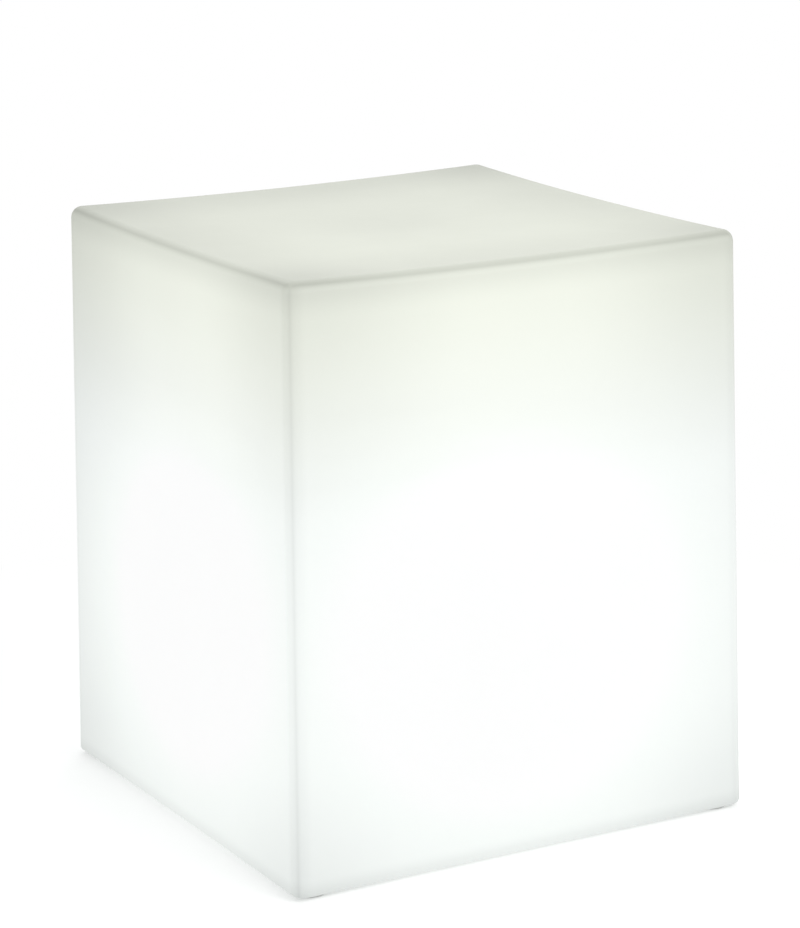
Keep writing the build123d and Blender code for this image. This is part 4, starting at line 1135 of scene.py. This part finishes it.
def makeCamera():
    view = cameraView
    heading, drop = math.radians(view["headingDegrees"]), math.radians(view["dropDegrees"])
    roll = math.radians(view["rollDegrees"])
    level = Vector((math.sin(heading), math.cos(heading), 0.0))
    ahead = level * math.cos(drop) - Vector((0.0, 0.0, math.sin(drop)))
    right = Vector((math.cos(heading), -math.sin(heading), 0.0))
    up = right.cross(ahead)
    rolledRight = math.cos(roll) * right + math.sin(roll) * up
    rolledUp = math.cos(roll) * up - math.sin(roll) * right
    longSide = max(view["frame"])
    lens = bpy.data.cameras.new("studioCamera")
    lens.sensor_width = view["sensor"]
    lens.lens = view["focalPixels"] * view["sensor"] / longSide
    lens.shift_y = (view["centreRow"] - view["frame"][1] / 2) / longSide
    lens.clip_start, lens.clip_end = 0.05, 60.0
    camera = bpy.data.objects.new("studioCamera", lens)
    turned = Matrix((rolledRight, rolledUp, -ahead)).transposed().to_4x4()
    camera.matrix_world = Matrix.Translation(view["place"]) @ turned
    bpy.context.scene.collection.objects.link(camera)
    bpy.context.scene.camera = camera


roomLight = {
    "floorSize": 7.0,
    "floorColour": 0.90,
    "floorLift": 0.22,
    "white": (0.34, 0.75),  # distances from the lamp's middle where the floor turns to plain white
    "ambient": 0.62,
    "ambientTint": (0.98, 1.0, 1.0),
    "target": (0.0, 0.0, 0.25),  # what the lamps look at
    "lamps": [
        # place, side, power, whether gloss shows it
        ((0.9, -2.2, 2.2), 1.8, 26.0, True),
        ((-2.4, -0.9, 1.6), 1.6, 12.0, True),
        ((0.6, 1.8, 2.4), 2.0, 16.0, True),
        ((2.0, 1.7, 1.0), 1.6, 7.5, False),
    ],
}


eyeRays = ("Is Camera Ray", "Is Glossy Ray", "Is Transmission Ray")


def seenBy(paint, *rays):
    # 1 for rays of those kinds
    path = paint.node("ShaderNodeLightPath")
    seen = Field(paint, path.outputs[rays[0]])
    for kind in rays[1:]:
        seen = seen.most(Field(paint, path.outputs[kind]))
    return seen


def makeRoom():
    # pale floor that keeps the shadow near the lamp and turns white further out
    light = roomLight
    made = bmesh.new()
    bmesh.ops.create_grid(made, x_segments=8, y_segments=8, size=light["floorSize"])
    floor = asPiece("paleFloor", made)
    paint = Paint("paleFloor", Roughness=0.9, Specular_IOR_Level=0.0)
    seen = seenBy(paint, *eyeRays)
    x, y, _ = paint.axes()
    far = length(x, y).step(*light["white"])
    pale = light["floorColour"]
    second = (pale * 0.99, pale * 0.99, pale * 0.985)
    paint.colour(paint.mix(paint.noise(35.0), (pale, pale, pale), second))
    paint.glow(paint.scaled((1.0, 1.0, 1.0), seen * light["floorLift"]))
    white = paint.node("ShaderNodeEmission", {}, {"Color": (1.0, 1.0, 1.0), "Strength": 1.0})
    ground = paint.blended(seen * far, paint.shader.outputs["BSDF"], white.outputs[0])
    # the eye looks through the floor from below, so that the base can be seen
    under = paint.output("ShaderNodeNewGeometry", "Backfacing") * seenBy(paint, "Is Camera Ray")
    clear = paint.node("ShaderNodeBsdfTransparent")
    paint.surface(paint.blended(under, ground, clear.outputs[0]))
    dress(floor, paint)

    # soft light from all round, seen as plain white
    room = Paint("whiteRoom", world=True)
    soft = room.node("ShaderNodeBackground", {}, {
        "Color": light["ambientTint"], "Strength": light["ambient"]})
    plain = room.node("ShaderNodeBackground", {}, {"Color": (1.0, 1.0, 1.0), "Strength": 1.0})
    seen = seenBy(room, *eyeRays)
    room.surface(room.blended(seen, soft.outputs[0], plain.outputs[0]))
    bpy.context.scene.world = room.material


def makeLamps():
    for number, (place, side, power, glossy) in enumerate(roomLight["lamps"]):
        light = bpy.data.lights.new("softbox" + str(number), "AREA")
        light.size = side
        light.energy = power
        holder = bpy.data.objects.new("softbox" + str(number), light)
        holder.location = place
        holder.visible_glossy = glossy
        holder.rotation_mode = "QUATERNION"
        holder.rotation_quaternion = (Vector(roomLight["target"]) - Vector(place)).to_track_quat("-Z", "Y")
        bpy.context.scene.collection.objects.link(holder)


makeCamera()
makeRoom()
makeLamps()
bpy.context.scene.view_settings.view_transform = "Standard"
print("camera, room and lamps")
